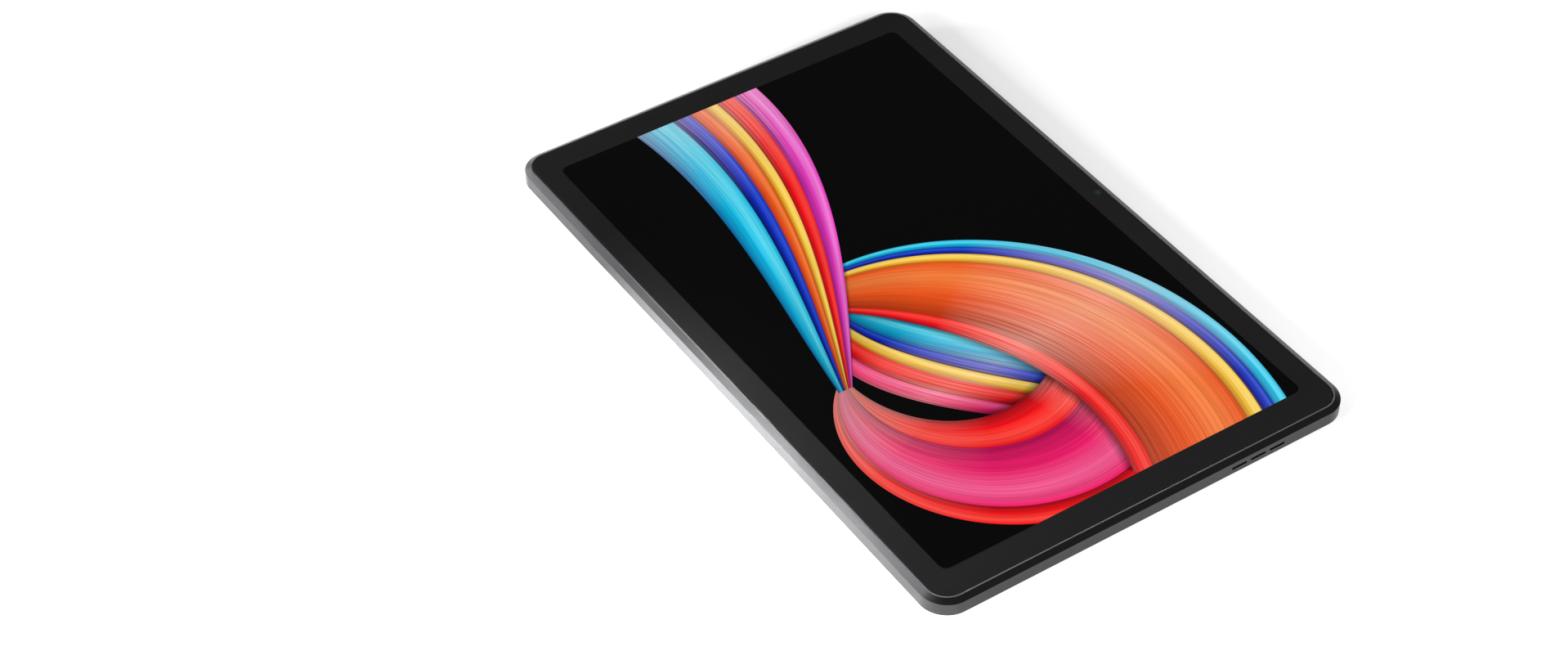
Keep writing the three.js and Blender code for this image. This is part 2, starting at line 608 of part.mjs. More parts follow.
function cameraPlate() {
  const corner = [0, ISLAND_CORNER, 0, 0];
  const footprint = rectangle(-END_X, ISLAND_LOW_Y, ISLAND_HIGH_X, EDGE_Y, corner);
  const plate = common(islandForm(), prismZ(footprint, -REACH, BACK_Z - BOND, BODY_STEPS));
  const barrelHole = circle(LENS_X, LENS_Y, BARREL_RADIUS + FIT);
  return cut(plate, [
    prismZ(windowOutline(SHEET_GAP), -REACH, WINDOW_BACK_Z + SHEET_GAP, BODY_STEPS),
    prismZ(barrelHole, -REACH, BACK_Z + REACH, ROUND_STEPS),
  ]);
}

function cameraWindow() {
  const sheet = prismZ(windowOutline(0), WINDOW_SINK, WINDOW_BACK_Z, BODY_STEPS);
  const [inside, outside] = [RING_RADIUS - RING_WIDTH - SHEET_GAP, RING_RADIUS + SHEET_GAP];
  const groove = [[inside, -REACH], [outside, -REACH], [outside, RING_DEPTH + SHEET_GAP]];
  groove.push([inside, RING_DEPTH + SHEET_GAP], groove[0]);
  const hole = circle(LENS_X, LENS_Y, BEZEL_RADIUS + SHEET_GAP);
  return cut(sheet, [
    turned(groove, LENS_X, LENS_Y),
    prismZ(hole, -REACH, WINDOW_BACK_Z + REACH, ROUND_STEPS),
  ]);
}

function cameraRing() {
  const [inside, outside] = [RING_RADIUS - RING_WIDTH, RING_RADIUS];
  const outline = [[inside, 0], [outside, 0], [outside, RING_DEPTH], [inside, RING_DEPTH], [inside, 0]];
  return turned(outline, LENS_X, LENS_Y);
}

function cameraBezel() {
  const [mouthZ, throatZ] = [WINDOW_SINK + SHEET_GAP, WINDOW_BACK_Z + SHEET_GAP];
  const mouth = [BEZEL_RADIUS - BEZEL_RIM, mouthZ];
  const outline = [mouth, [BEZEL_RADIUS, mouthZ], [BEZEL_RADIUS, throatZ], [BEZEL_THROAT, throatZ], mouth];
  return turned(outline, LENS_X, LENS_Y);
}

// A lens with a domed face: its rim has a straight edge, and its dome rises towards domeZ.
function lens(x, y, radius, rimZ, flatZ, domeZ) {
  const outline = [[0, flatZ], [radius, flatZ]];
  for (let i = 0; i <= DOME_STEPS; i += 1) {
    const angle = (i / DOME_STEPS) * (Math.PI / 2);
    outline.push([radius * Math.cos(angle), rimZ + (domeZ - rimZ) * Math.sin(angle)]);
  }
  outline[outline.length - 1][0] = 0;
  if (domeZ < flatZ) outline.reverse();
  return turned(outline, x, y, ROUND_STEPS / 2);
}

function rearCameraLens() {
  const flatZ = BARREL_Z - SHEET_GAP;
  return lens(LENS_X, LENS_Y, BEZEL_THROAT - FIT, flatZ - FIT, flatZ, WINDOW_SINK + 2 * FIT);
}

function rearCameraModule() {
  const barrel = prismZ(circle(LENS_X, LENS_Y, BARREL_RADIUS), BARREL_Z, FLOOR_Z + REACH, ROUND_STEPS);
  const base = block(LENS_X, LENS_Y, REAR_CAMERA_SIZE, REAR_CAMERA_SIZE, REAR_CAMERA_CORNER);
  return join([barrel, prismZ(base, FLOOR_Z + FIT, PLATE_UNDER_Z - FIT)]);
}

function cameraFlex() {
  const highY = LENS_Y - REAR_CAMERA_SIZE / 2 - FIT;
  const shape = rectangle(
    LENS_X - CAMERA_FLEX_WIDTH / 2, BOARD_Y - CAMERA_FLEX_OVERLAP,
    LENS_X + CAMERA_FLEX_WIDTH / 2, highY, SQUARE,
  );
  return prismZ(shape, BOARD_TOP_Z + BOND, BOARD_TOP_Z + BOND + FLEX_THICKNESS);
}

function frontCameraModule() {
  const barrelTopZ = GLASS_UNDER_Z - FIT - FRONT_LENS_HEIGHT - BOND;
  const baseTopZ = barrelTopZ - FRONT_BARREL_HEIGHT;
  const base = block(0, FRONT_CAMERA_Y, FRONT_CAMERA_SIZE, FRONT_CAMERA_SIZE);
  const barrel = circle(0, FRONT_CAMERA_Y, FRONT_BARREL_RADIUS);
  return join([
    prismZ(base, baseTopZ - FRONT_CAMERA_HEIGHT, baseTopZ),
    prismZ(barrel, baseTopZ - FIT, barrelTopZ, SCREW_STEPS),
  ]);
}

function frontCameraLens() {
  const flatZ = GLASS_UNDER_Z - FIT - FRONT_LENS_HEIGHT;
  return lens(0, FRONT_CAMERA_Y, FRONT_LENS_RADIUS, flatZ + FIT, flatZ, flatZ + FRONT_LENS_HEIGHT);
}

// ---------------------------------------------------------------------------------------------
// Keys and their switches
// ---------------------------------------------------------------------------------------------

// A key: its outer pill, the flange that keeps it in the wall, and what it presses with.
function key(x, slotLength, backPieces) {
  const [length, height] = [slotLength - 2 * KEY_GAP, KEY_SLOT_HEIGHT - 2 * KEY_GAP];
  const pill = block(x, MIDDLE_Z, length, height, height / 2);
  const flange = block(x, MIDDLE_Z, length + 2 * KEY_FLANGE_LIP, KEY_FLANGE_HEIGHT, KEY_FLANGE_LIP);
  const flangeFront = FLANGE_Y + KEY_FLANGE_THICKNESS;
  return join([
    prismY(pill, flangeFront - FIT, EDGE_Y + KEY_PROUD),
    prismY(flange, FLANGE_Y, flangeFront),
    ...backPieces,
  ]);
}

function nub(x, switchGap) {
  return prismY(circle(x, MIDDLE_Z, NUB_RADIUS), PLUNGER_Y + switchGap, FLANGE_Y + FIT);
}

function powerButton() {
  return key(POWER_X, POWER_SLOT_LENGTH, [nub(POWER_X, POWER_SWITCH_GAP)]);
}

function volumeRocker() {
  const fulcrum = block(ROCKER_X, MIDDLE_Z, FULCRUM_WIDTH, SWITCH_HEIGHT);
  return key(ROCKER_X, ROCKER_SLOT_LENGTH, [
    nub(ROCKER_X - ROCKER_SWITCH_SPREAD / 2, ROCKER_SWITCH_GAP),
    nub(ROCKER_X + ROCKER_SWITCH_SPREAD / 2, ROCKER_SWITCH_GAP),
    prismY(fulcrum, FLEX_Y + FIT, FLANGE_Y + FIT),
  ]);
}

function keySwitch(x) {
  const plunger = circle(x, MIDDLE_Z, PLUNGER_RADIUS);
  return join([
    prismY(block(x, MIDDLE_Z, SWITCH_LENGTH, SWITCH_HEIGHT), SWITCH_Y - SWITCH_DEPTH, SWITCH_Y),
    prismY(plunger, SWITCH_Y - FIT, PLUNGER_Y),
  ]);
}

function buttonFlex() {
  const shape = rectangle(
    BRACKET_LOW_X + FIT, MIDDLE_Z - KEY_FLANGE_HEIGHT / 2,
    BRACKET_HIGH_X - FIT, MIDDLE_Z + KEY_FLANGE_HEIGHT / 2, SQUARE,
  );
  return prismY(shape, FLEX_Y - FLEX_THICKNESS, FLEX_Y);
}

// An angle of sheet steel: a foot on the floor of the body and an upright behind the switches.
function buttonBracket() {
  const lowZ = FLOOR_Z + BOND;
  const outline = new THREE.Shape();
  outline.moveTo(BRACKET_Y - BRACKET_SHEET - BRACKET_FOOT, lowZ);
  outline.lineTo(BRACKET_Y, lowZ);
  outline.lineTo(BRACKET_Y, LIP_Z - FIT);
  outline.lineTo(BRACKET_Y - BRACKET_SHEET, LIP_Z - FIT);
  outline.lineTo(BRACKET_Y - BRACKET_SHEET, lowZ + BRACKET_SHEET);
  outline.lineTo(BRACKET_Y - BRACKET_SHEET - BRACKET_FOOT, lowZ + BRACKET_SHEET);
  return prismX(outline, BRACKET_LOW_X, BRACKET_HIGH_X);
}

// ---------------------------------------------------------------------------------------------
// Microphone, speakers and port
// ---------------------------------------------------------------------------------------------

function microphoneGasket() {
  const shape = circle(MIC_X, MIDDLE_Z, MIC_GASKET_RADIUS);
  shape.holes.push(new THREE.Path().absarc(MIC_X, MIDDLE_Z, MIC_HOLE_RADIUS, 0, Math.PI * 2));
  return prismY(shape, GASKET_Y, GASKET_Y + MIC_GASKET_LENGTH, SCREW_STEPS);
}

function microphone() {
  const shape = block(MIC_X, MIDDLE_Z, MIC_LENGTH, MIC_HEIGHT);
  return prismY(shape, MIC_Y, MIC_Y + MIC_DEPTH);
}

function microphoneBoard() {
  const shape = block(MIC_X, MIDDLE_Z, MIC_BOARD_LENGTH, MIC_BOARD_HEIGHT);
  return prismY(shape, MIC_BOARD_Y, MIC_BOARD_Y + MIC_BOARD_THICKNESS);
}

function speaker() {
  const frontX = WALL_X - 2 * FIT - MESH_THICKNESS;
  const [lowY, highY] = [SPEAKER_Y - SPEAKER_LENGTH / 2, SPEAKER_Y + SPEAKER_LENGTH / 2];
  const radii = [SPEAKER_CORNER, SPEAKER_CORNER, SPEAKER_CORNER, SPEAKER_CORNER];
  const box = rectangle(frontX - SPEAKER_DEPTH, lowY, frontX, highY, radii);
  const mouth = block(SPEAKER_Y, MIDDLE_Z, meshLength(), SPEAKER_SLOT_HEIGHT + MESH_OVERLAP);
  return cut(prismZ(box, FLOOR_Z + FIT, LIP_Z - FIT), [
    prismX(mouth, frontX - SPEAKER_PORT_DEPTH, frontX + REACH),
  ]);
}

function meshLength() {
  return (SPEAKER_SLOTS - 1) * SPEAKER_SLOT_PITCH + SPEAKER_SLOT_LENGTH + 2 * MESH_OVERLAP;
}

function speakerMesh() {
  const height = SPEAKER_SLOT_HEIGHT + 2 * MESH_OVERLAP;
  const shape = block(SPEAKER_Y, MIDDLE_Z, meshLength(), height, height / 2);
  return prismX(shape, WALL_X - FIT - MESH_THICKNESS, WALL_X - FIT);
}

// The same piece at the other short side: turned about the line through the middle of both.
function otherSide(geometry) {
  return geometry.translate(0, -SPEAKER_Y, 0).rotateZ(Math.PI).translate(0, SPEAKER_Y, 0);
}

function usbShell() {
  const [mouthX, endX] = [-END_X + FIT, -END_X + FIT + PORT_LENGTH];
  const height = PORT_OPENING_HEIGHT;
  const opening = block(0, MIDDLE_Z, PORT_OPENING_WIDTH, height, height / 2);
  return cut(prismX(portOutline(0), mouthX, endX), [prismX(opening, mouthX - REACH, endX - PORT_SHEET)]);
}

function usbTongue() {
  const endX = -END_X + FIT + PORT_LENGTH - PORT_SHEET - BOND;
  const shape = block(0, MIDDLE_Z, PORT_TONGUE_WIDTH, PORT_TONGUE_THICKNESS, PORT_TONGUE_CORNER);
  return prismX(shape, endX - PORT_TONGUE_LENGTH, endX);
}

// The port's small board lies level with the main board, and the port sinks into a recess in it.
function portBoard() {
  const lowX = -END_X + PORT_BOARD_FROM_END;
  const shape = block(lowX + PORT_BOARD_LENGTH / 2, 0, PORT_BOARD_LENGTH, PORT_BOARD_WIDTH);
  const recessEndX = -END_X + FIT + PORT_LENGTH + FIT;
  return cut(prismZ(shape, BOARD_UNDER_Z, BOARD_TOP_Z), [
    prismX(portOutline(FIT), lowX - REACH, recessEndX),
  ]);
}

// ---------------------------------------------------------------------------------------------
// Boards, battery and screws
// ---------------------------------------------------------------------------------------------

function mainBoard() {
  const shape = block(BOARD_X, 0, BOARD_WIDTH, 2 * BOARD_Y, BOARD_CORNER);
  const holes = BOARD_SCREWS.map((place) => screwHole(place, BOARD_UNDER_Z - REACH, BOARD_TOP_Z + REACH));
  return cut(prismZ(shape, BOARD_UNDER_Z, BOARD_TOP_Z), holes);
}

// A pressed can, open towards the board.
function shield(fromX, fromY, length, width) {
  const [x, y, lowZ] = [BOARD_X + fromX, fromY, BOARD_TOP_Z + BOND];
  const inside = block(x, y, length - 2 * SHIELD_SHEET, width - 2 * SHIELD_SHEET);
  const can = prismZ(block(x, y, length, width, SHIELD_CORNER), lowZ, SHIELD_TOP_Z);
  return cut(can, [prismZ(inside, lowZ - REACH, SHIELD_TOP_Z - SHIELD_SHEET)]);
}

function heatSpreader() {
  const shape = block(BOARD_X, 0, SPREADER_LENGTH, SPREADER_WIDTH, SPREADER_CORNER);
  return prismZ(shape, SPREADER_Z, SPREADER_Z + SPREADER_THICKNESS);
}

function batteryCell(index) {
  const cells = BATTERY_CELLS.length;
  const length = (BATTERY_HIGH_X - BATTERY_LOW_X - (cells - 1) * BATTERY_SPACE) / cells;
  const x = BATTERY_LOW_X + index * (length + BATTERY_SPACE) + length / 2;
  const shape = block(x, 0, length, 2 * BATTERY_Y, BATTERY_CORNER);
  return prismZ(shape, FLOOR_Z + FIT, PLATE_UNDER_Z - FIT);
}

function batteryBoard() {
  const x = (BATTERY_LOW_X + BATTERY_HIGH_X) / 2;
  const y = BATTERY_Y + BATTERY_SPACE + BATTERY_BOARD_WIDTH / 2;
  const shape = block(x, y, BATTERY_BOARD_LENGTH, BATTERY_BOARD_WIDTH);
  return prismZ(shape, FLOOR_Z + FIT, FLOOR_Z + FIT + BOARD_THICKNESS);
}

function antenna(side) {
  const x = side * (END_X - ANTENNA_FROM_END - ANTENNA_LENGTH / 2);
  const y = -WALL_Y + FIT + ANTENNA_THICKNESS / 2;
  const shape = block(x, y, ANTENNA_LENGTH, ANTENNA_THICKNESS);
  return prismZ(shape, FLOOR_Z + BOND, FLOOR_Z + BOND + ANTENNA_HEIGHT);
}

// A flat-headed screw whose head rests at headZ.
function screw([x, y], headZ, tipZ) {
  const outline = [
    [0, tipZ],
    [SCREW_RADIUS, tipZ],
    [SCREW_RADIUS, headZ],
    [SCREW_HEAD_RADIUS, headZ],
    [SCREW_HEAD_RADIUS, headZ + SCREW_HEAD_HEIGHT],
    [0, headZ + SCREW_HEAD_HEIGHT],
  ];
  return turned(outline, x, y, SCREW_STEPS);
}

// ---------------------------------------------------------------------------------------------
// The assembly
// ---------------------------------------------------------------------------------------------

const tablet = new THREE.Group();

function add(name, geometry, material) {
  const mesh = new THREE.Mesh(geometry, material);
  mesh.name = name;
  tablet.add(mesh);
}

add("rear_shell", rearShell(), darkMetal());
add("front_trim", frontTrim(), darkMetal());
add("glass_adhesive", glassAdhesive(), blackPlastic());
add("cover_glass", coverGlass(), blackGlass());

add("display_panel", displayPanel(), blackGlass());
add("display_driver", displayDriver(), blackPlastic());
add("backlight_guide", backlightGuide(), whiteSheet());
add("backlight_tray", backlightTray(), brightMetal());
add("support_plate", supportPlate(), brightMetal());
add("display_flex", displayFlex(), amberFilm());
add("display_connector", displayConnector(), blackPlastic());

add("camera_plate", cameraPlate(), darkMetal());
add("camera_window", cameraWindow(), blackGlass());
add("camera_ring", cameraRing(), brightMetal());
add("camera_bezel", cameraBezel(), blackPlastic());
add("rear_camera_lens", rearCameraLens(), clearGlass());
add("rear_camera_module", rearCameraModule(), blackPlastic());
add("camera_flex", cameraFlex(), amberFilm());
add("front_camera_module", frontCameraModule(), blackPlastic());
add("front_camera_lens", frontCameraLens(), clearGlass());

add("volume_rocker", volumeRocker(), keyMetal());
add("power_button", powerButton(), keyMetal());
add("button_bracket", buttonBracket(), brightMetal());
add("button_flex", buttonFlex(), amberFilm());
add("volume_up_switch", keySwitch(ROCKER_X - ROCKER_SWITCH_SPREAD / 2), brightMetal());
add("volume_down_switch", keySwitch(ROCKER_X + ROCKER_SWITCH_SPREAD / 2), brightMetal());
add("power_switch", keySwitch(POWER_X), brightMetal());

add("microphone_gasket", microphoneGasket(), blackPlastic());
add("microphone", microphone(), brightMetal());
add("microphone_board", microphoneBoard(), board());

add("speaker_right", speaker(), blackPlastic());
add("speaker_left", otherSide(speaker()), blackPlastic());
add("speaker_mesh_right", speakerMesh(), blackPlastic());
add("speaker_mesh_left", otherSide(speakerMesh()), blackPlastic());
add("usb_shell", usbShell(), brightMetal());
add("usb_tongue", usbTongue(), blackPlastic());
add("port_board", portBoard(), board());

add("main_board", mainBoard(), board());
for (const [name, ...place] of SHIELDS) add(name, shield(...place), brightMetal());
add("heat_spreader", heatSpreader(), foil());
BATTERY_CELLS.forEach((name, index) => add(name, batteryCell(index), foil()));
add("battery_board", batteryBoard(), board());
add("antenna_left", antenna(-1), amberFilm());
add("antenna_right", antenna(1), amberFilm());

PLATE_SCREWS.forEach((place, i) => {
  add("plate_screw_" + (i + 1), screw(place, PLATE_TOP_Z + BOND, FLOOR_Z + REACH), brightMetal());
});
BOARD_SCREWS.forEach((place, i) => {
  add("board_screw_" + (i + 1), screw(place, BOARD_TOP_Z + BOND, FLOOR_Z + FIT), brightMetal());
});

export default tablet;
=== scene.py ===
"""The looks of a ten-inch tablet computer lying on its back: screen lit, keys and camera in place.

Sizes in this script are millimetres, in the frame's axes: +X along the long edge, +Y to the edge
with the keys, +Z out of the screen. Places come from the frame's nodes. Meshes are scaled to
metres when they are made.
"""

import json
import math

import bmesh
import bpy
from mathutils import Matrix, Vector


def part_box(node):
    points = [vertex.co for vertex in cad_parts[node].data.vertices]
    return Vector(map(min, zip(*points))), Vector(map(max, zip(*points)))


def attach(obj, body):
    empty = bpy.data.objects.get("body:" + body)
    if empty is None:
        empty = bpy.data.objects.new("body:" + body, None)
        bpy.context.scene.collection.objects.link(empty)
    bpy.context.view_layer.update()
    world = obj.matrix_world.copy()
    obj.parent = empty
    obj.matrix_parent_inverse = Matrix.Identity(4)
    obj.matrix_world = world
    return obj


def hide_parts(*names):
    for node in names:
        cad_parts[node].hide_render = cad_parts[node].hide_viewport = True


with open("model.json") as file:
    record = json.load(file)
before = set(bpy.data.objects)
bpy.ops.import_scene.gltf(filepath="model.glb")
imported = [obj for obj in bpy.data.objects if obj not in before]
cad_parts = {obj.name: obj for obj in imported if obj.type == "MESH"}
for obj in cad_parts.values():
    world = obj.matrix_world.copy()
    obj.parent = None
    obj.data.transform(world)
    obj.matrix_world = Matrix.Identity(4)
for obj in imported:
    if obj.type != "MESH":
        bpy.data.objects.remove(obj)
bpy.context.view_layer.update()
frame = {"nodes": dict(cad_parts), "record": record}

MM = 0.001
BODY = "body"

# ---------------------------------------------------------------------------------------------
# Sizes that the boxes of the frame's nodes don't give
# ---------------------------------------------------------------------------------------------

CORNER_RADIUS = 9.3
EDGE_INSET = 1.9  # plan width of the slope at the front and back edges
EDGE_DROP = 1.2  # height of that slope
SIDE_WALL = 1.5
BACK_WALL = 0.8
TRIM_LAND = 0.45  # flat top of the trim, next to the glass
TRIM_SEAM = 0.02
LEDGE_WIDTH = 1.85
TAPE_SPACE = 0.2  # between the ledge and the glass
GLASS_GAP = 0.1
FIT = 0.1
BORDER_X = 10.2  # edge of the trim's slope to the picture
BORDER_Y = 8.5
PICTURE_CORNER = 2.6
CAMERA_SPOT_RADIUS = 1.55
RING_WIDTH = 0.45
PLATE_SLOPE = 0.6  # sloping edge of the camera plate, in plan and in height
PLATE_CORNER = 4.5
WINDOW_SINK = 0.1
WINDOW_GAP = 0.05
WINDOW_CORNERS = (0.3, 0.3, 0.3, 5.6)
WINDOW_THICKNESS = 0.55
BARREL_RADIUS = 3.6
BEZEL_RADIUS = 2.9
BEZEL_THROAT = 2.05
BEZEL_STEPS = 7
KEY_GAP = 0.15
KEY_HEIGHT = 2.0
KEY_FLANGE_LIP = 1.15
KEY_FLANGE_THICKNESS = 0.7
KEY_FLANGE_GAP = 0.35
KEY_CROWN = 0.3  # rounding of the face that is pressed
FLANGE_CHAMFER = 0.08
NUB_RADIUS = 0.8
NUB_GAP = 0.2  # between the rocker's nubs and their switches
FULCRUM_WIDTH = 1.4
FULCRUM_HEIGHT = 2.4
SWITCH_SPREAD = 14.0
SLOT_COUNT = 3
SLOT_LENGTH = 5.9
SLOT_HEIGHT = 0.9
SLOT_PITCH = 7.4
MIC_HOLE_RADIUS = 0.5
PORT_SHEET = 0.3
CONTACT_COUNT = 12  # on each face of the tongue
CONTACT_PITCH = 0.5
CONTACT_WIDTH = 0.24
LONG_CONTACTS = (0, 3, 8, 11)
BOSS_RADIUS = 1.8
SCREW_RADIUS = 0.7

EDGE_ROUND = 0.16  # crisp machined edges of the body
FINE_ROUND = 0.02  # edges that meet another piece
INNER_ROUND = 0.05  # edges inside the body
SMALL_ROUND = 0.1  # corners of small parts
FLOOR_ROUND = 0.3  # where the shell's floor meets its wall
RIM_ROUND = 0.07  # rounding at the mouth of each slot
REACH = 1.0  # how far a cutter runs past the faces it cuts
FLAT = 3.0  # plan width of the flat ring inside the first and the last rounding
SMALL = 0.01
CORNER_STEPS = 28
FILLET_STEPS = 3
CROWN_STEPS = 6
DOME_STEPS = 14
FEW_STEPS = 4
PILL_STEPS = 14
ROUND_STEPS = 96


def box(node):
    """The lowest and highest corner of a node, in millimetres."""
    low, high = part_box(node)
    return low / MM, high / MM


def middle(node):
    low, high = box(node)
    return (low + high) / 2


SHELL_LOW, SHELL_HIGH = box("rear_shell")
TRIM_LOW, _ = box("front_trim")
GLASS_LOW, GLASS_HIGH = box("cover_glass")
PLATE_LOW, PLATE_HIGH = box("camera_plate")
END_X = SHELL_HIGH.x
EDGE_Y = SHELL_HIGH.y
BACK_Z = SHELL_LOW.z
PARTING_Z = SHELL_HIGH.z
GLASS_Z = GLASS_HIGH.z
MIDDLE_Z = (BACK_Z + GLASS_Z) / 2
PICTURE_X = END_X - EDGE_INSET - BORDER_X  # half the picture's length
PICTURE_Y = EDGE_Y - EDGE_INSET - BORDER_Y
LENS = middle("camera_ring")


# ---------------------------------------------------------------------------------------------
# Mesh making
# ---------------------------------------------------------------------------------------------

def make_object(name, vertices, faces):
    """An object from points in millimetres."""
    mesh = bpy.data.meshes.new(name)
    mesh.from_pydata([Vector(v) * MM for v in vertices], [], faces)
    edit = bmesh.new()
    edit.from_mesh(mesh)
    bmesh.ops.recalc_face_normals(edit, faces=edit.faces)
    edit.to_mesh(mesh)
    edit.free()
    piece = bpy.data.objects.new(name, mesh)
    bpy.context.scene.collection.objects.link(piece)
    return piece


def rounded_rectangle(low, high, radii, steps=CORNER_STEPS):
    """Points round a rectangle, with a radius for each corner: -X-Y, +X-Y, +X+Y, -X+Y."""
    if not isinstance(radii, (tuple, list)):
        radii = (radii,) * 4
    signs = ((-1, -1), (1, -1), (1, 1), (-1, 1))
    points = []
    for quarter, ((sx, sy), radius) in enumerate(zip(signs, radii)):
        x = (high[0] if sx > 0 else low[0]) - sx * radius
        y = (high[1] if sy > 0 else low[1]) - sy * radius
        for i in range(steps + 1):
            angle = math.radians(180 + 90 * quarter + 90 * i / steps)
            points.append((x + radius * math.cos(angle), y + radius * math.sin(angle)))
    return points


def body_ring(inset, z):
    """The body's outline, drawn in by inset, at height z."""
    low = (SHELL_LOW.x + inset, SHELL_LOW.y + inset)
    high = (SHELL_HIGH.x - inset, SHELL_HIGH.y - inset)
    outline = rounded_rectangle(low, high, max(CORNER_RADIUS - inset, 1.0))
    return [(x, y, z) for x, y in outline]


def fillet(corners, closed=False, steps=FILLET_STEPS):
    """A path from [x, y, radius] corners, with an arc at each corner that has a radius."""
    path = []
    count = len(corners)
    for i, (x, y, radius) in enumerate(corners):
        at_end = not closed and i in (0, count - 1)
        if at_end or radius == 0:
            path.append((x, y))
            continue
        here = Vector((x, y))
        before = (Vector(corners[i - 1][:2]) - here).normalized()
        after = (Vector(corners[(i + 1) % count][:2]) - here).normalized()
        half = before.angle(after) / 2
        centre = here + (before + after).normalized() * radius / math.sin(half)
        start = here + before * radius / math.tan(half) - centre
        end = here + after * radius / math.tan(half) - centre
        turn = start.angle_signed(end)
        for step in range(steps + 1):
            spoke = start.copy()
            angle = -turn * step / steps
            spoke.rotate(Matrix.Rotation(angle, 2))
            path.append(tuple(centre + spoke))
    return path


def bridge(count, a, b):
    """Quads between two rings of count points that start at vertices a and b."""
    return [(a + i, a + (i + 1) % count, b + (i + 1) % count, b + i) for i in range(count)]


def loft(name, rings, closed=False):
    """A solid through rings of points. It is capped at both ends, or joined end to end if closed."""
    count = len(rings[0])
    vertices = [point for ring in rings for point in ring]
    faces = []
    stretches = len(rings) if closed else len(rings) - 1
    for i in range(stretches):
        faces += bridge(count, i * count, ((i + 1) % len(rings)) * count)
    if not closed:
        faces.append(tuple(range(count)))
        faces.append(tuple(range(len(vertices) - count, len(vertices))))
    return make_object(name, vertices, faces)


def turned(name, outline, centre, steps=ROUND_STEPS):
    """A round piece about a Z axis, from a closed outline of (radius, z) points."""
    rings = []
    for i in range(steps):
        angle = 2 * math.pi * i / steps
        spoke = (math.cos(angle), math.sin(angle))
        rings.append([(centre.x + r * spoke[0], centre.y + r * spoke[1], z) for r, z in outline])
    piece = loft(name, rings, closed=True)
    weld(piece)
    return piece


def weld(piece, distance=1e-4):
    """Joins points that coincide, and drops the faces and edges that this leaves without area."""
    edit = bmesh.new()
    edit.from_mesh(piece.data)
    bmesh.ops.remove_doubles(edit, verts=edit.verts, dist=distance * MM)
    bmesh.ops.dissolve_degenerate(edit, edges=edit.edges, dist=distance * MM)
    bmesh.ops.recalc_face_normals(edit, faces=edit.faces)
    edit.to_mesh(piece.data)
    edit.free()


# How an outline's own u, v and depth w lie in the frame, for a wall that faces along each axis.
WALLS = {
    "x": lambda u, v, w: (w, u, v),
    "y": lambda u, v, w: (u, w, v),
    "z": lambda u, v, w: (u, v, w),
}


def pill(u, v, length, height, steps=PILL_STEPS):
    """A rectangle with fully round ends, or a circle where length and height are the same."""
    half_u, half_v = length / 2, height / 2
    radius = min(half_u, half_v) - 0.001
    return rounded_rectangle((u - half_u, v - half_v), (u + half_u, v + half_v), radius, steps)


def pill_loft(name, wall, u, v, length, height, path):
    """A pill-shaped solid that runs into a wall. path gives (growth of the outline, depth)."""
    place = WALLS[wall]
    rings = []
    for grow, depth in path:
        outline = pill(u, v, length + 2 * grow, height + 2 * grow)
        rings.append([place(a, b, depth) for a, b in outline])
    return loft(name, rings)


def slot_path(inner, face, rounding=RIM_ROUND):
    """The path of a cutter whose mouth, at the face, is rounded outwards."""
    side = 1 if face > inner else -1
    path = [(0, inner)]
    for i in range(FILLET_STEPS + 1):
        angle = math.pi / 2 * i / FILLET_STEPS
        path.append((rounding * (1 - math.cos(angle)), face - side * rounding * (1 - math.sin(angle))))
    path.append((rounding, face + side * REACH))
    return path


def combine(piece, tools, operation):
    """Joins or cuts piece with tools that don't touch each other, and removes the tools."""
    for tool in tools[1:]:
        edit = bmesh.new()
        edit.from_mesh(tools[0].data)
        edit.from_mesh(tool.data)
        edit.to_mesh(tools[0].data)
        edit.free()
    change = piece.modifiers.new("combine", "BOOLEAN")
    change.object = tools[0]
    change.operation = operation
    change.solver = "EXACT"
    apply_modifiers(piece)
    for tool in tools:
        bpy.data.objects.remove(tool)


def apply_modifiers(piece):
    depsgraph = bpy.context.evaluated_depsgraph_get()
    mesh = bpy.data.meshes.new_from_object(piece.evaluated_get(depsgraph))
    piece.modifiers.clear()
    piece.data = mesh


def shade(piece, angle=30):
    """Smooth shading that keeps flat faces flat and edges over the angle sharp."""
    piece.data.shade_smooth()
    piece.data.set_sharp_from_angle(angle=math.radians(angle))
    weigh = piece.modifiers.new("weigh", "WEIGHTED_NORMAL")
    weigh.keep_sharp = True
    weigh.weight = 100


def install(piece, body, materials, replaced=()):
    """Finishes a piece: its shading, materials, body and the nodes it stands for."""
    shade(piece)
    for material in materials:
        piece.data.materials.append(material)
    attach(piece, body)
    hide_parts(*replaced)
    return piece


# ---------------------------------------------------------------------------------------------
# Body
# ---------------------------------------------------------------------------------------------

def housing():
    """The rear shell: flat back, sloping edge, straight sides, and the floor and walls inside."""
    floor_z = BACK_Z + BACK_WALL
    section = fillet([
        (EDGE_INSET + FLAT, BACK_Z, 0),
        (EDGE_INSET, BACK_Z, EDGE_ROUND * 2),
        (0, BACK_Z + EDGE_DROP, EDGE_ROUND * 2),
        (0, PARTING_Z, FINE_ROUND),
        (SIDE_WALL, PARTING_Z, FINE_ROUND),
        (SIDE_WALL, floor_z, FLOOR_ROUND),
        (SIDE_WALL + FLAT, floor_z, 0),
    ])
    shell = loft("housing", [body_ring(inset, z) for inset, z in section])
    combine(shell, bosses(floor_z), "UNION")
    combine(shell, housing_cutters(floor_z), "DIFFERENCE")
    weld(shell)
    paint_slot_shade(shell)
    return shell


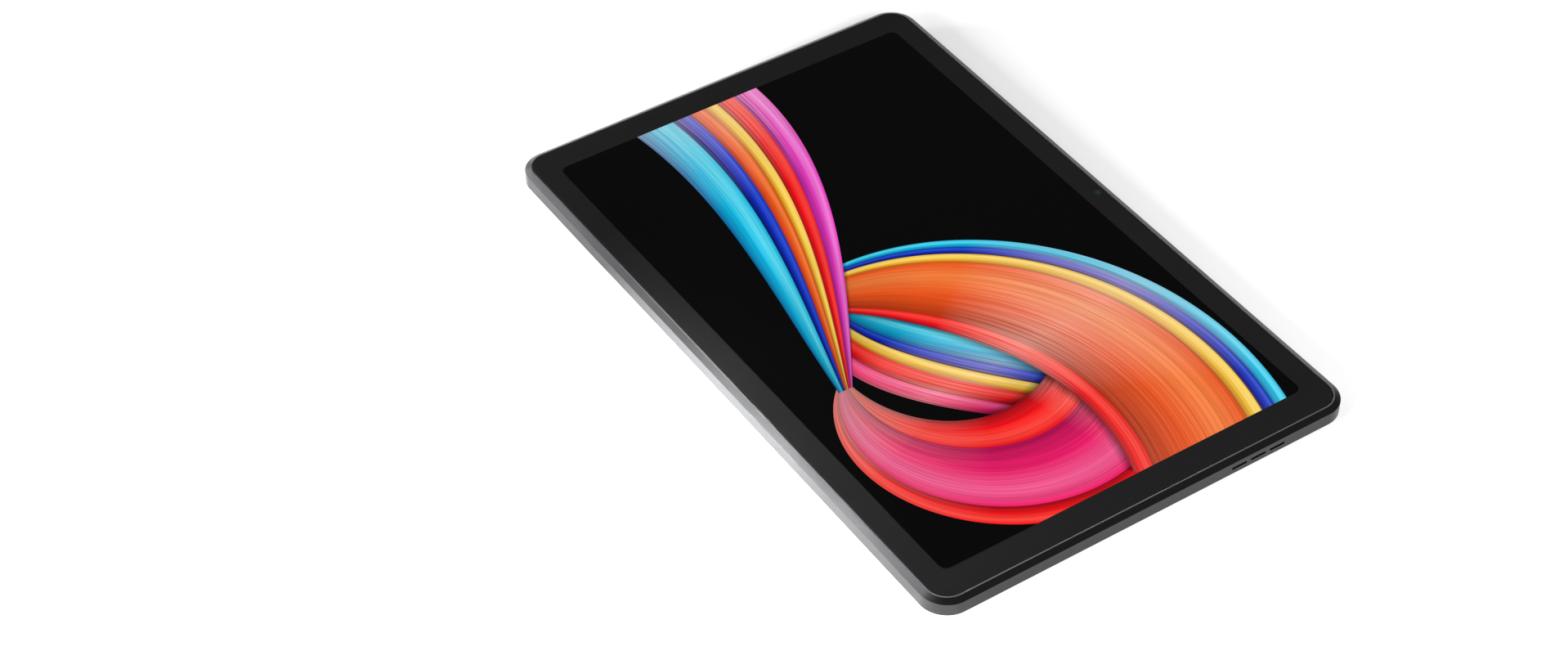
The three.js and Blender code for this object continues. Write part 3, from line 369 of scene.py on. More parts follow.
def paint_slot_shade(shell):
    """Gives the walls of the speaker slots the shell's second material, a near-black painted shade; the
    real walls are the shell's own metal.
    """
    reach = SLOT_COUNT * SLOT_PITCH / 2
    for face in shell.data.polygons:
        place = face.center / MM
        within = END_X - SIDE_WALL < abs(place.x) < END_X - RIM_ROUND
        beside = abs(place.y - middle("speaker_mesh_right").y) < reach
        face.material_index = int(within and beside and abs(place.z - MIDDLE_Z) < SLOT_HEIGHT)


def bosses(floor_z):
    """Posts for the screws of the support plate and the main board."""
    posts = []
    for node in screws():
        place = middle(node)
        seat = box("support_plate" if node.startswith("plate") else "main_board")[0].z - 0.05
        radius = 2 * BOSS_RADIUS
        path = [(0, floor_z - BACK_WALL / 2), (0, seat - 0.1), (-0.1, seat)]
        posts.append(pill_loft(node + "_boss", "z", place.x, place.y, radius, radius, path))
    return posts


def screws():
    return [name for name in frame["nodes"] if "_screw_" in name]


def housing_cutters(floor_z):
    inner = EDGE_Y - SIDE_WALL - REACH
    cutters = []
    for node in ("volume_rocker", "power_button"):
        low, high = box(node)
        length = high.x - low.x - 2 * KEY_FLANGE_LIP + 2 * KEY_GAP
        height = KEY_HEIGHT + 2 * KEY_GAP
        path = slot_path(inner, EDGE_Y)
        cutters.append(pill_loft(node + "_slot", "y", middle(node).x, MIDDLE_Z, length, height, path))
    hole = 2 * MIC_HOLE_RADIUS
    mic_x = middle("microphone_gasket").x
    path = slot_path(inner, EDGE_Y)
    cutters.append(pill_loft("microphone_hole", "y", mic_x, MIDDLE_Z, hole, hole, path))
    for side in (-1, 1):
        path = slot_path(side * (END_X - SIDE_WALL - REACH), side * END_X)
        for i in range(SLOT_COUNT):
            y = middle("speaker_mesh_right").y + (i - (SLOT_COUNT - 1) / 2) * SLOT_PITCH
            name = "speaker_slot"
            cutters.append(pill_loft(name, "x", y, MIDDLE_Z, SLOT_LENGTH, SLOT_HEIGHT, path))
    low, high = box("usb_shell")
    size = (high.y - low.y + 2 * FIT, high.z - low.z + 2 * FIT)
    path = slot_path(-END_X + SIDE_WALL + REACH, -END_X)
    cutters.append(pill_loft("port_hole", "x", middle("usb_shell").y, MIDDLE_Z, *size, path))
    for node in screws():
        place = middle(node)
        wide = 2 * (SCREW_RADIUS + FIT)
        path = [(0, floor_z), (0, PARTING_Z)]
        cutters.append(pill_loft(node + "_hole", "z", place.x, place.y, wide, wide, path))
    wide = 2 * (BARREL_RADIUS + FIT)
    path = [(0, BACK_Z - REACH), (0, floor_z + REACH)]
    cutters.append(pill_loft("camera_hole", "z", LENS.x, LENS.y, wide, wide, path))
    return cutters


def trim():
    """The front frame: the slope, the narrow land beside the glass, and the ledge under it."""
    seam_z = PARTING_Z + TRIM_SEAM
    slope_start = EDGE_INSET * TRIM_SEAM / EDGE_DROP
    land_end = EDGE_INSET + TRIM_LAND
    ledge_z = GLASS_LOW.z - TAPE_SPACE
    ledge_end = land_end + GLASS_GAP + LEDGE_WIDTH
    section = fillet([
        (slope_start, seam_z, FINE_ROUND),
        (EDGE_INSET, GLASS_Z, EDGE_ROUND),
        (land_end, GLASS_Z, 0.06),
        (land_end, ledge_z, INNER_ROUND),
        (ledge_end, ledge_z, INNER_ROUND),
        (ledge_end, TRIM_LOW.z, INNER_ROUND),
        (SIDE_WALL + FIT, TRIM_LOW.z, INNER_ROUND),
        (SIDE_WALL + FIT, seam_z, 0.03),
    ], closed=True)
    ring = loft("front_frame", [body_ring(inset, z) for inset, z in section], closed=True)
    low, high = box("front_camera_module")
    grow = Vector((FIT, FIT, 0))
    low, high = low - grow, high + grow
    outline = rounded_rectangle(low.xy, high.xy, 2 * SMALL_ROUND, FEW_STEPS)
    notch = [[(x, y, z) for x, y in outline] for z in (TRIM_LOW.z - REACH, ledge_z + FIT)]
    combine(ring, [loft("notch", notch)], "DIFFERENCE")
    weld(ring)
    # The flat land beside the glass gets the trim's second colour, lighter and less metallic than the
    # rest.
    for face in ring.data.polygons:
        face.material_index = int(face.normal.z > 0.9 and face.center.z / MM > GLASS_Z - EDGE_ROUND)
    return ring


def glass():
    """The cover glass: its edge is ground round, and its front holds the picture's outline."""
    inset = GLASS_LOW.x - SHELL_LOW.x
    section = fillet([
        (inset + 1, GLASS_LOW.z, 0),
        (inset, GLASS_LOW.z, 0.08),
        (inset, GLASS_Z, 0.22),
        (inset + 1, GLASS_Z, 0),
    ], steps=5)
    rings = [body_ring(edge, z) for edge, z in section]
    outline = rounded_rectangle((-PICTURE_X, -PICTURE_Y), (PICTURE_X, PICTURE_Y), PICTURE_CORNER)
    rings.append([(x, y, GLASS_Z) for x, y in outline])
    sheet = loft("cover_glass_sheet", rings)
    spot = middle("front_camera_lens")
    wide = 2 * CAMERA_SPOT_RADIUS
    path = [(0, GLASS_LOW.z - REACH), (0, GLASS_Z + REACH)]
    combine(sheet, [pill_loft("spot", "z", spot.x, spot.y, wide, wide, path)], "DIFFERENCE")
    for face in sheet.data.polygons:
        points = [sheet.data.vertices[i].co / MM for i in face.vertices]
        inside = all(abs(p.x) < PICTURE_X + SMALL and abs(p.y) < PICTURE_Y + SMALL for p in points)
        face.material_index = int(inside and all(abs(p.z - GLASS_Z) < SMALL for p in points))
    return sheet


def camera_spot():
    """The clear spot in the printed border, over the front camera."""
    spot = middle("front_camera_lens")
    wide = 2 * (CAMERA_SPOT_RADIUS - SMALL)
    path = [(0, GLASS_LOW.z + FINE_ROUND), (0, GLASS_Z - FINE_ROUND), (-FINE_ROUND, GLASS_Z)]
    return pill_loft("camera_spot", "z", spot.x, spot.y, wide, wide, path)


# ---------------------------------------------------------------------------------------------
# Cameras
# ---------------------------------------------------------------------------------------------

def plate_ring(slope, free, z, low_corner=0.3):
    """The camera plate's outline. slope draws in the two sides that end at the body's edge."""
    low = (PLATE_LOW.x + slope, PLATE_LOW.y + free)
    high = (PLATE_HIGH.x - free, PLATE_HIGH.y - slope)
    corner = CORNER_RADIUS - EDGE_INSET - slope
    radii = (low_corner, PLATE_CORNER - free, low_corner, corner)
    return [(x, y, z) for x, y in rounded_rectangle(low, high, radii)]


def window_ring(grow, z):
    low, high = box("camera_window")
    radii = tuple(max(radius + grow, 0.1) for radius in WINDOW_CORNERS)
    outline = rounded_rectangle((low.x - grow, low.y - grow), (high.x + grow, high.y + grow), radii)
    return [(x, y, z) for x, y in outline]


def camera_plate():
    rings = [plate_ring(0, 0, PLATE_HIGH.z), plate_ring(0, 0, PLATE_SLOPE + 0.05)]
    rings.append(plate_ring(0.03, 0, PLATE_SLOPE - 0.03))
    rounding = 0.14
    slope_end = PLATE_SLOPE - 0.08
    rings.append(plate_ring(slope_end, 0, rounding + 0.02))
    for i in range(1, FILLET_STEPS + 1):
        angle = math.pi / 2 * i / FILLET_STEPS
        inward = rounding * (1 - math.cos(angle))
        rings.append(plate_ring(slope_end + 0.6 * inward, inward, rounding * (1 - math.sin(angle))))
    floor_z = WINDOW_SINK + WINDOW_THICKNESS + WINDOW_GAP
    rings.append(window_ring(WINDOW_GAP + 0.04, 0))
    rings.append(window_ring(WINDOW_GAP, 0.04))
    rings.append(window_ring(WINDOW_GAP, floor_z))
    plate = loft("camera_island", rings)
    wide = 2 * (BARREL_RADIUS + FIT)
    path = [(0, 0), (0, BACK_Z + REACH)]
    combine(plate, [pill_loft("hole", "z", LENS.x, LENS.y, wide, wide, path)], "DIFFERENCE")
    weld(plate)
    return plate


def camera_window():
    low, high = box("camera_window")
    path = fillet([(-1, high.z, 0), (0, high.z, 0.05), (0, low.z, 0.1), (-1, low.z, 0)])
    pane = loft("camera_pane", [window_ring(grow, z) for grow, z in path])
    ring_low, ring_high = box("camera_ring")
    outer = (ring_high.x - ring_low.x) / 2 + WINDOW_GAP
    inner = outer - RING_WIDTH - 2 * WINDOW_GAP
    depth = ring_high.z + WINDOW_GAP
    groove = turned("groove", [(inner, -1), (outer, -1), (outer, depth), (inner, depth)], LENS)
    wide = 2 * (BEZEL_RADIUS + WINDOW_GAP)
    hole = pill_loft("hole", "z", LENS.x, LENS.y, wide, wide, [(0, -1), (0, BACK_Z)])
    combine(pane, [groove, hole], "DIFFERENCE")
    weld(pane)
    return pane


def camera_ring():
    low, high = box("camera_ring")
    outer = (high.x - low.x) / 2
    inner = outer - RING_WIDTH
    section = fillet([
        (inner, low.z, 0.1), (outer, low.z, 0.1), (outer, high.z, 0.03), (inner, high.z, 0.03),
    ], closed=True)
    return turned("camera_trim_ring", section, LENS)


def camera_bezel():
    """The stepped cone that shades the lens."""
    low, high = box("camera_bezel")
    outer = (high.x - low.x) / 2
    mouth = outer - 0.3
    section = [(outer, high.z), (outer, low.z + 0.05), (outer - 0.06, low.z), (outer - 0.26, low.z)]
    rise = (high.z - low.z) / BEZEL_STEPS
    run = (mouth - BEZEL_THROAT) / BEZEL_STEPS
    for i in range(BEZEL_STEPS):
        radius = mouth - i * run
        section.append((radius, low.z + (i + 0.25) * rise))
        section.append((radius - run * 0.8, low.z + (i + 0.75) * rise))
    section.append((BEZEL_THROAT, high.z))
    return turned("lens_bezel", section, LENS)


def dome(name, node, outward, rim=0.06):
    """A lens in the space of a node. Its domed face points along +Z if outward is 1, or -Z."""
    low, high = box(node)
    radius = (high.x - low.x) / 2
    flat, top = (low.z, high.z) if outward > 0 else (high.z, low.z)
    section = [(0, flat), (radius - rim / 2, flat), (radius, flat + outward * rim / 2)]
    start = flat + outward * rim
    for i in range(DOME_STEPS + 1):
        angle = math.pi / 2 * i / DOME_STEPS
        section.append((radius * math.cos(angle), start + (top - start) * math.sin(angle)))
    section[-1] = (0, top)
    return turned(name, section, middle(node))


# ---------------------------------------------------------------------------------------------
# Keys and port
# ---------------------------------------------------------------------------------------------

def key(name, node, extras):
    """A key: the pill that shows, the flange that keeps it in, and what it presses with."""
    low, high = box(node)
    x = (low.x + high.x) / 2
    length = high.x - low.x - 2 * KEY_FLANGE_LIP
    flange_front = EDGE_Y - SIDE_WALL - KEY_FLANGE_GAP
    flange_back = flange_front - KEY_FLANGE_THICKNESS
    path = [(0, flange_front - FIT)]
    for i in range(CROWN_STEPS + 1):
        angle = math.pi / 2 * i / CROWN_STEPS
        inward = KEY_CROWN * (1 - math.cos(angle))
        path.append((-inward, high.y - KEY_CROWN * (1 - math.sin(angle))))
    piece = pill_loft(name, "y", x, MIDDLE_Z, length, KEY_HEIGHT, path)
    tall = high.z - low.z
    chamfer = [(-FLANGE_CHAMFER, flange_back), (0, flange_back + FLANGE_CHAMFER),
               (0, flange_front - FLANGE_CHAMFER), (-FLANGE_CHAMFER, flange_front)]
    flange = pill_loft("flange", "y", x, MIDDLE_Z, high.x - low.x, tall, chamfer)
    combine(piece, [flange], "UNION")
    combine(piece, extras(x, flange_back), "UNION")
    weld(piece)
    return piece


def nub(x, flange_back, tip):
    """A round post behind a key, which presses its switch."""
    wide = 2 * NUB_RADIUS
    path = [(-SMALL_ROUND, tip), (0, tip + SMALL_ROUND), (0, flange_back + FIT)]
    return pill_loft("nub", "y", x, MIDDLE_Z, wide, wide, path)


def power_key():
    def extras(x, back):
        return [nub(x, back, box("power_button")[0].y)]
    return key("power_key", "power_button", extras)


def volume_key():
    fulcrum_tip = box("volume_rocker")[0].y
    nub_tip = box("volume_up_switch")[1].y + NUB_GAP

    def extras(x, back):
        nubs = [nub(x + side * SWITCH_SPREAD / 2, back, nub_tip) for side in (-1, 1)]
        low = (x - FULCRUM_WIDTH / 2, MIDDLE_Z - FULCRUM_HEIGHT / 2)
        high = (x + FULCRUM_WIDTH / 2, MIDDLE_Z + FULCRUM_HEIGHT / 2)
        outline = rounded_rectangle(low, high, SMALL_ROUND, FEW_STEPS)
        rings = [[(a, y, b) for a, b in outline] for y in (fulcrum_tip, back + FIT)]
        return nubs + [loft("fulcrum", rings)]
    return key("volume_key", "volume_rocker", extras)


def port_shell():
    low, high = box("usb_shell")
    outer_u, outer_v = high.y - low.y, high.z - low.z
    end = high.x
    path = [(-SMALL_ROUND, low.x), (0, low.x + SMALL_ROUND), (0, end - SMALL_ROUND), (-SMALL_ROUND, end)]
    tube = pill_loft("port_shell", "x", middle("usb_shell").y, MIDDLE_Z, outer_u, outer_v, path)
    inner_path = [(SMALL_ROUND, low.x - REACH), (SMALL_ROUND, low.x), (0, low.x + 1.5 * SMALL_ROUND),
                  (0, end - PORT_SHEET)]
    inner_u, inner_v = outer_u - 2 * PORT_SHEET, outer_v - 2 * PORT_SHEET
    bore = pill_loft("bore", "x", middle("usb_shell").y, MIDDLE_Z, inner_u, inner_v, inner_path)
    combine(tube, [bore], "DIFFERENCE")
    weld(tube)
    return tube


def port_tongue():
    low, high = box("usb_tongue")
    rings = []
    for grow, x in ((-0.12, low.x), (0, low.x + 0.2), (0, high.x)):
        corners = (low.y - grow, low.z - grow), (high.y + grow, high.z + grow)
        outline = rounded_rectangle(*corners, SMALL_ROUND, FEW_STEPS)
        rings.append([(x, y, z) for y, z in outline])
    return loft("port_tongue", rings)


def port_contacts():
    """The gold contacts on both faces of the tongue."""
    low, high = box("usb_tongue")
    vertices = []
    faces = []
    for face_z, outward in ((high.z, 1), (low.z, -1)):
        for i in range(CONTACT_COUNT):
            y = (i - (CONTACT_COUNT - 1) / 2) * CONTACT_PITCH
            start = low.x + (0.45 if i in LONG_CONTACTS else 0.8)
            base = len(vertices)
            for x in (start, high.x - 0.3):
                for across in (-CONTACT_WIDTH / 2, CONTACT_WIDTH / 2):
                    for z in (face_z - outward * 0.02, face_z + outward * 0.03):
                        vertices.append((x, y + across, z))
            for corners in ((0, 1, 3, 2), (4, 6, 7, 5), (0, 4, 5, 1), (2, 3, 7, 6), (0, 2, 6, 4),
                            (1, 5, 7, 3)):
                faces.append(tuple(base + corner for corner in corners))
    return make_object("port_contacts", vertices, faces)


# ---------------------------------------------------------------------------------------------
# Materials
# ---------------------------------------------------------------------------------------------

class Graph:
    """A material's nodes. Inputs are numbers, colours or the outputs of other nodes."""

    def __init__(self, name, **shader):
        self.material = bpy.data.materials.new(name)
        self.material.use_nodes = True
        self.tree = self.material.node_tree
        self.shader = self.tree.nodes["Principled BSDF"]
        for socket, value in shader.items():
            self.shader.inputs[socket.replace("_", " ")].default_value = value
        self.place = self.node("ShaderNodeTexCoord").outputs["Object"]

    def node(self, kind, **settings):
        node = self.tree.nodes.new(kind)
        for setting, value in settings.items():
            setattr(node, setting, value)
        return node

    def feed(self, socket, value):
        if isinstance(value, bpy.types.NodeSocket):
            self.tree.links.new(value, socket)
        else:
            socket.default_value = value

    def math(self, operation, *values, clamp=False):
        node = self.node("ShaderNodeMath", operation=operation, use_clamp=clamp)
        for socket, value in zip(node.inputs, values):
            self.feed(socket, value)
        return node.outputs[0]

    def noise(self, scale, detail=2.0, stretch=(1, 1, 1), where=None):
        """Noise of 0 to 1. scale is the number of its features in a millimetre."""
        mapping = self.node("ShaderNodeMapping")
        self.feed(mapping.inputs["Vector"], self.place if where is None else where)
        mapping.inputs["Scale"].default_value = stretch
        noise = self.node("ShaderNodeTexNoise")
        self.feed(noise.inputs["Vector"], mapping.outputs[0])
        noise.inputs["Scale"].default_value = scale / MM
        noise.inputs["Detail"].default_value = detail
        return noise.outputs["Fac"]

    def ramp(self, fac, stops, mode="LINEAR"):
        """A colour ramp through (position, colour or grey) stops."""
        node = self.node("ShaderNodeValToRGB")
        node.color_ramp.interpolation = mode
        elements = node.color_ramp.elements
        while len(elements) < len(stops):
            elements.new(0.5)
        for element, (position, colour) in zip(elements, stops):
            if not isinstance(colour, tuple):
                colour = (colour,) * 3
            element.position = position
            element.color = (*colour, 1)
        self.feed(node.inputs[0], fac)
        return node.outputs[0]

    def mix(self, fac, a, b):
        node = self.node("ShaderNodeMix", data_type="RGBA")
        self.feed(node.inputs[0], fac)
        for socket, value in ((node.inputs[6], a), (node.inputs[7], b)):
            self.feed(socket, value if isinstance(value, bpy.types.NodeSocket) else (*value, 1))
        return node.outputs[2]

    def scale(self, colour, factor):
        """A colour made darker or lighter."""
        node = self.node("ShaderNodeVectorMath", operation="SCALE")
        self.feed(node.inputs[0], colour)
        self.feed(node.inputs["Scale"], factor)
        return node.outputs[0]

    def bump(self, height, strength, distance):
        """Relief of the surface. distance is in millimetres."""
        node = self.node("ShaderNodeBump")
        node.inputs["Strength"].default_value = strength
        node.inputs["Distance"].default_value = distance * MM
        self.feed(node.inputs["Height"], height)
        self.feed(self.shader.inputs["Normal"], node.outputs[0])

    def colour(self, value):
        self.feed(self.shader.inputs["Base Color"], value)

    def rough(self, value):
        self.feed(self.shader.inputs["Roughness"], value)


def shades(colour, spread):
    """Three ramp stops about a colour, darker and lighter by spread."""
    return [(0.25, tuple(c * (1 - spread) for c in colour)), (0.5, colour),
            (0.75, tuple(c * (1 + spread) for c in colour))]


def blasted_metal(name, colour, rough, grain=9.0, metallic=0.92):
    """Anodised aluminium with a fine blasted grain."""
    g = Graph(name, Metallic=metallic, Specular_IOR_Level=0.5)
    fine = g.noise(grain, 3)
    patches = g.noise(0.03, 2)
    g.colour(g.ramp(g.math("MULTIPLY_ADD", fine, 0.5, g.math("MULTIPLY", patches, 0.5)),
                    shades(colour, 0.12)))
    g.rough(g.ramp(patches, [(0.3, rough - 0.03), (0.7, rough + 0.03)]))
    g.bump(fine, 0.05, 0.003)
    return g.material


def brushed_metal(name, colour, rough=0.32):
    """Sheet metal with straight fine brushing along X."""
    g = Graph(name, Metallic=1.0)
    lines = g.noise(6.0, 4, (0.02, 1, 1))
    g.colour(g.ramp(lines, shades(colour, 0.12)))
    g.rough(g.ramp(lines, [(0.3, rough - 0.06), (0.7, rough + 0.08)]))
    g.bump(lines, 0.1, 0.01)
    return g.material


def polished_metal(name, colour):
    """Metal with a shine that fine polishing marks hardly break."""
    g = Graph(name, Metallic=1.0)
    lines = g.noise(3.0, 3)
    g.colour(g.ramp(lines, shades(colour, 0.05)))
    g.rough(g.ramp(lines, [(0.3, 0.16), (0.7, 0.22)]))
    return g.material


def moulded_plastic(name, colour, rough=0.5, grain=5.0, specular=0.5):
    """Plastic with the fine texture of its mould."""
    g = Graph(name, Specular_IOR_Level=specular)
    fine = g.noise(grain, 3)
    g.colour(g.ramp(fine, shades(colour, 0.15)))
    g.rough(g.ramp(g.noise(0.4, 2), [(0.3, rough - 0.05), (0.7, rough + 0.05)]))
    g.bump(fine, 0.25, 0.01)
    return g.material


def printed_glass(name, colour, rough):
    """Glass with black print behind it, and the faintest haze of handling on its face."""
    g = Graph(name, Specular_IOR_Level=0.3, IOR=1.5)
    g.colour(g.ramp(g.noise(0.05, 2), shades(colour, 0.06)))
    g.rough(g.ramp(g.noise(0.08, 4), [(0.35, rough), (0.75, rough + 0.03)]))
    return g.material


def lens_painted_look(name, centre, radius, tint=1.0):
    """A lens with a blue-green coating, painted in rings by its radius: a painted reflection in the
    middle, painted reflections of its barrel's rings inside, and a black pupil of painted shade.
    """
    g = Graph(name, Coat_Weight=1.0, Coat_Roughness=0.01, IOR=1.7)
    offset = g.node("ShaderNodeVectorMath", operation="SUBTRACT")
    g.feed(offset.inputs[0], g.place)
    offset.inputs[1].default_value = centre * MM
    flat = g.node("ShaderNodeVectorMath", operation="MULTIPLY")
    g.feed(flat.inputs[0], offset.outputs[0])
    flat.inputs[1].default_value = (1, 1, 0)
    length = g.node("ShaderNodeVectorMath", operation="LENGTH")
    g.feed(length.inputs[0], flat.outputs[0])
    share = g.math("DIVIDE", length.outputs["Value"], radius * MM)
    # Painted reflections and painted shade, by the distance from the lens's middle.
    rings = g.ramp(share, [
        (0.0, (0.10, 0.22, 0.24)), (0.14, (0.04, 0.13, 0.15)), (0.3, (0.004, 0.012, 0.016)),
        (0.42, (0.02, 0.09, 0.10)), (0.6, (0.006, 0.02, 0.025)), (0.72, (0.015, 0.035, 0.04)),
        (1.0, (0.003, 0.003, 0.004)),
    ])
    g.colour(g.scale(rings, tint))
    g.rough(g.ramp(g.noise(0.6, 2), [(0.3, 0.02), (0.7, 0.05)]))
    return g.material


def circuit_board(name):
    """Green solder mask with the relief of the copper under it."""
    g = Graph(name)
    voronoi = g.node("ShaderNodeTexVoronoi", distance="MANHATTAN", feature="F1")
    g.feed(voronoi.inputs["Vector"], g.place)
    voronoi.inputs["Scale"].default_value = 0.9 / MM
    steps = g.math("PINGPONG", g.math("MULTIPLY", voronoi.outputs["Distance"], 6.0), 1.0)
    tracks = g.ramp(steps, [(0.4, 0.0), (0.55, 1.0)])
    g.colour(g.mix(tracks, (0.006, 0.05, 0.02), (0.02, 0.12, 0.05)))
    g.rough(g.ramp(g.noise(2.0), [(0.3, 0.35), (0.7, 0.5)]))
    g.bump(tracks, 0.4, 0.03)
    return g.material


def film(name):
    """Amber film over straight copper tracks along X."""
    g = Graph(name, Coat_Weight=0.3)
    wave = g.node("ShaderNodeTexWave", bands_direction="Y")
    g.feed(wave.inputs["Vector"], g.place)
    wave.inputs["Scale"].default_value = 0.5 / MM
    tracks = g.ramp(wave.outputs["Fac"], [(0.45, 0.0), (0.55, 1.0)])
    g.colour(g.mix(tracks, (0.22, 0.08, 0.01), (0.55, 0.24, 0.05)))
    g.rough(g.ramp(g.noise(1.0), [(0.3, 0.3), (0.7, 0.42)]))
    g.bump(tracks, 0.3, 0.01)
    return g.material


def pouch_foil(name):
    """The laminated foil of a battery pouch, slightly crumpled."""
    g = Graph(name, Metallic=0.8)
    creases = g.noise(0.12, 6)
    g.colour(g.ramp(creases, shades((0.4, 0.41, 0.42), 0.08)))
    g.rough(g.ramp(g.noise(4.0, 2), [(0.3, 0.3), (0.7, 0.42)]))
    g.bump(creases, 0.5, 0.15)
    return g.material


def woven(name):
    """Fine acoustic cloth."""
    g = Graph(name, Sheen_Weight=0.2)
    threads = []
    for direction in ("Y", "Z"):
        wave = g.node("ShaderNodeTexWave", bands_direction=direction)
        g.feed(wave.inputs["Vector"], g.place)
        wave.inputs["Scale"].default_value = 1.6 / MM
        threads.append(wave.outputs["Fac"])
    weave = g.math("MULTIPLY", *threads)
    g.colour(g.mix(weave, (0.004, 0.004, 0.004), (0.03, 0.03, 0.032)))
    g.rough(g.ramp(weave, [(0.2, 0.9), (0.8, 0.7)]))
    g.bump(weave, 0.6, 0.05)
    return g.material


def diffuser(name):
    """A white light guide with its grid of dots."""
    g = Graph(name)
    dots = g.node("ShaderNodeTexVoronoi")
    g.feed(dots.inputs["Vector"], g.place)
    dots.inputs["Scale"].default_value = 1.2 / MM
    g.colour(g.ramp(dots.outputs["Distance"], [(0.1, 0.9), (0.5, 0.78)]))
    g.rough(g.ramp(g.noise(2.0), [(0.3, 0.55), (0.7, 0.65)]))
    return g.material


def painted_floor(name):
    """A plain pale floor."""
    g = Graph(name)
    g.colour(g.ramp(g.noise(0.002, 3), [(0.3, 0.86), (0.7, 0.88)]))
    g.rough(g.ramp(g.noise(0.01, 2), [(0.3, 0.75), (0.7, 0.8)]))
    return g.material


# ---------------------------------------------------------------------------------------------
# The screen's picture: bundles of painted ribbons over black
# ---------------------------------------------------------------------------------------------

def ink(code):
    """A colour from its hex code, as linear light."""
    values = [int(code[i:i + 2], 16) / 255 for i in (0, 2, 4)]
    return tuple(v / 12.92 if v <= 0.04045 else ((v + 0.055) / 1.055) ** 2.4 for v in values)


# Inks of a ribbon: its plain colour, its shaded edge and its lit side.
CYAN = ("08b4dc", "04649c", "5ad8ee")
BLUE = ("0826ac", "030a48", "2a50d0")
GOLD = ("f2bc34", "a85c10", "f8dc74")
ORANGE = ("e8541a", "a83008", "f07e3c")
RED = ("ee1018", "900614", "f8463c")
PINK = ("e81c68", "a80a4c", "ee5c92")
VIOLET = ("de34b4", "8c1c80", "ec7cd4")
SHEEN = "fbe3d4"


def bands(*ribbons):
    """Ramp stops across a bundle, from (width, inks) of each ribbon."""
    total = sum(width for width, _ in ribbons)
    stops = []
    start = 0.0
    for width, (plain, shaded, lit) in ribbons:
        share = width / total
        stops += [(start + 0.002, ink(shaded)), (start + 0.4 * share, ink(plain)),
                  (start + 0.75 * share, ink(lit)), (start + share - 0.002, ink(plain))]
        start += share
    return stops


class Picture(Graph):
    """A lit screen. Places are in tenths of a metre from the middle of the body."""

    def __init__(self, name):
        super().__init__(name, Specular_IOR_Level=0.3, IOR=1.5, Emission_Strength=1.0)
        split = self.node("ShaderNodeSeparateXYZ")
        self.feed(split.inputs[0], self.place)
        self.x = self.math("MULTIPLY", split.outputs[0], 10.0)
        self.y = self.math("MULTIPLY", split.outputs[1], 10.0)

    def curve(self, along, coefficients):
        """A polynomial of along, from its highest coefficient to its constant."""
        value = coefficients[0]
        for coefficient in coefficients[1:]:
            value = self.math("MULTIPLY_ADD", along, value, coefficient)
        return value

    def across(self, off, along, half):
        """-1 to 1 across a bundle, off its middle line, from its half width along it."""
        half = self.math("MAXIMUM", self.curve(along, half), 0.004)
        return self.math("DIVIDE", off, half)

    def level(self, start, end, middle, half):
        """Across and along a bundle that runs along X from start to end."""
        along = self.math("MULTIPLY_ADD", self.x, 1 / (end - start), -start / (end - start))
        off = self.math("SUBTRACT", self.y, self.curve(along, middle))
        return self.across(off, along, half), along

    def around(self, centre, start, end, middle, half):
        """Across and along a bundle that runs round a centre, between two angles."""
        dx = self.math("SUBTRACT", self.x, centre[0])
        dy = self.math("SUBTRACT", self.y, centre[1])
        reach = self.math("SQRT", self.math("MULTIPLY_ADD", dx, dx, self.math("MULTIPLY", dy, dy)))
        turn = math.radians((start + end) / 2)
        forward, aside = math.cos(turn), math.sin(turn)
        run = self.math("MULTIPLY_ADD", dx, forward, self.math("MULTIPLY", dy, aside))
        rise = self.math("SUBTRACT", self.math("MULTIPLY", dy, forward),
                         self.math("MULTIPLY", dx, aside))
        angle = self.math("ARCTAN2", rise, run)
        along = self.math("MULTIPLY_ADD", angle, 1 / math.radians(end - start), 0.5)
        off = self.math("SUBTRACT", reach, self.curve(along, middle))
        return self.across(off, along, half), along

    def strokes(self, share, along, lines):
        """Fine lines of 0 to 1 that run along a bundle, as a wide brush leaves them."""
        place = self.node("ShaderNodeCombineXYZ")
        self.feed(place.inputs[0], self.math("MULTIPLY", share, lines))
        self.feed(place.inputs[1], along)
        noise = self.node("ShaderNodeTexNoise")
        self.feed(noise.inputs["Vector"], place.outputs[0])
        noise.inputs["Scale"].default_value = 3.0
        noise.inputs["Detail"].default_value = 3.0
        return self.ramp(noise.outputs["Fac"], [(0.3, 0.0), (0.7, 1.0)])

    def lay(self, under, bundle, ribbons, shade, sheen, shadow=0.12, lines=22.0):
        """Lays a bundle over what is under it, with its brush lines, sheen, shade and shadow."""
        across, along = bundle
        distance = self.math("ABSOLUTE", across)
        beside = self.math("COMPARE", along, 0.5, 0.5)
        inside = self.math("MULTIPLY", self.math("LESS_THAN", distance, 1.0), beside)
        share = self.math("MULTIPLY_ADD", across, 0.5, 0.5)
        strokes = self.strokes(share, along, lines)
        colour = self.ramp(share, bands(*ribbons))
        colour = self.scale(colour, self.math("MULTIPLY_ADD", strokes, 0.4, 0.8))
        gloss = self.math("MULTIPLY", self.ramp(along, sheen),
                          self.math("MULTIPLY_ADD", strokes, 0.9, 0.15))
        colour = self.mix(gloss, colour, ink(SHEEN))
        colour = self.scale(colour, self.ramp(along, shade))
        if shadow:
            clear = self.math("DIVIDE", self.math("SUBTRACT", distance, 1.0), shadow, clamp=True)
            dim = self.math("MULTIPLY_ADD", clear, 0.7, 0.3)
            under = self.scale(under, self.math("MAXIMUM", dim, self.math("SUBTRACT", 1.0, beside)))
        return self.mix(inside, under, colour)


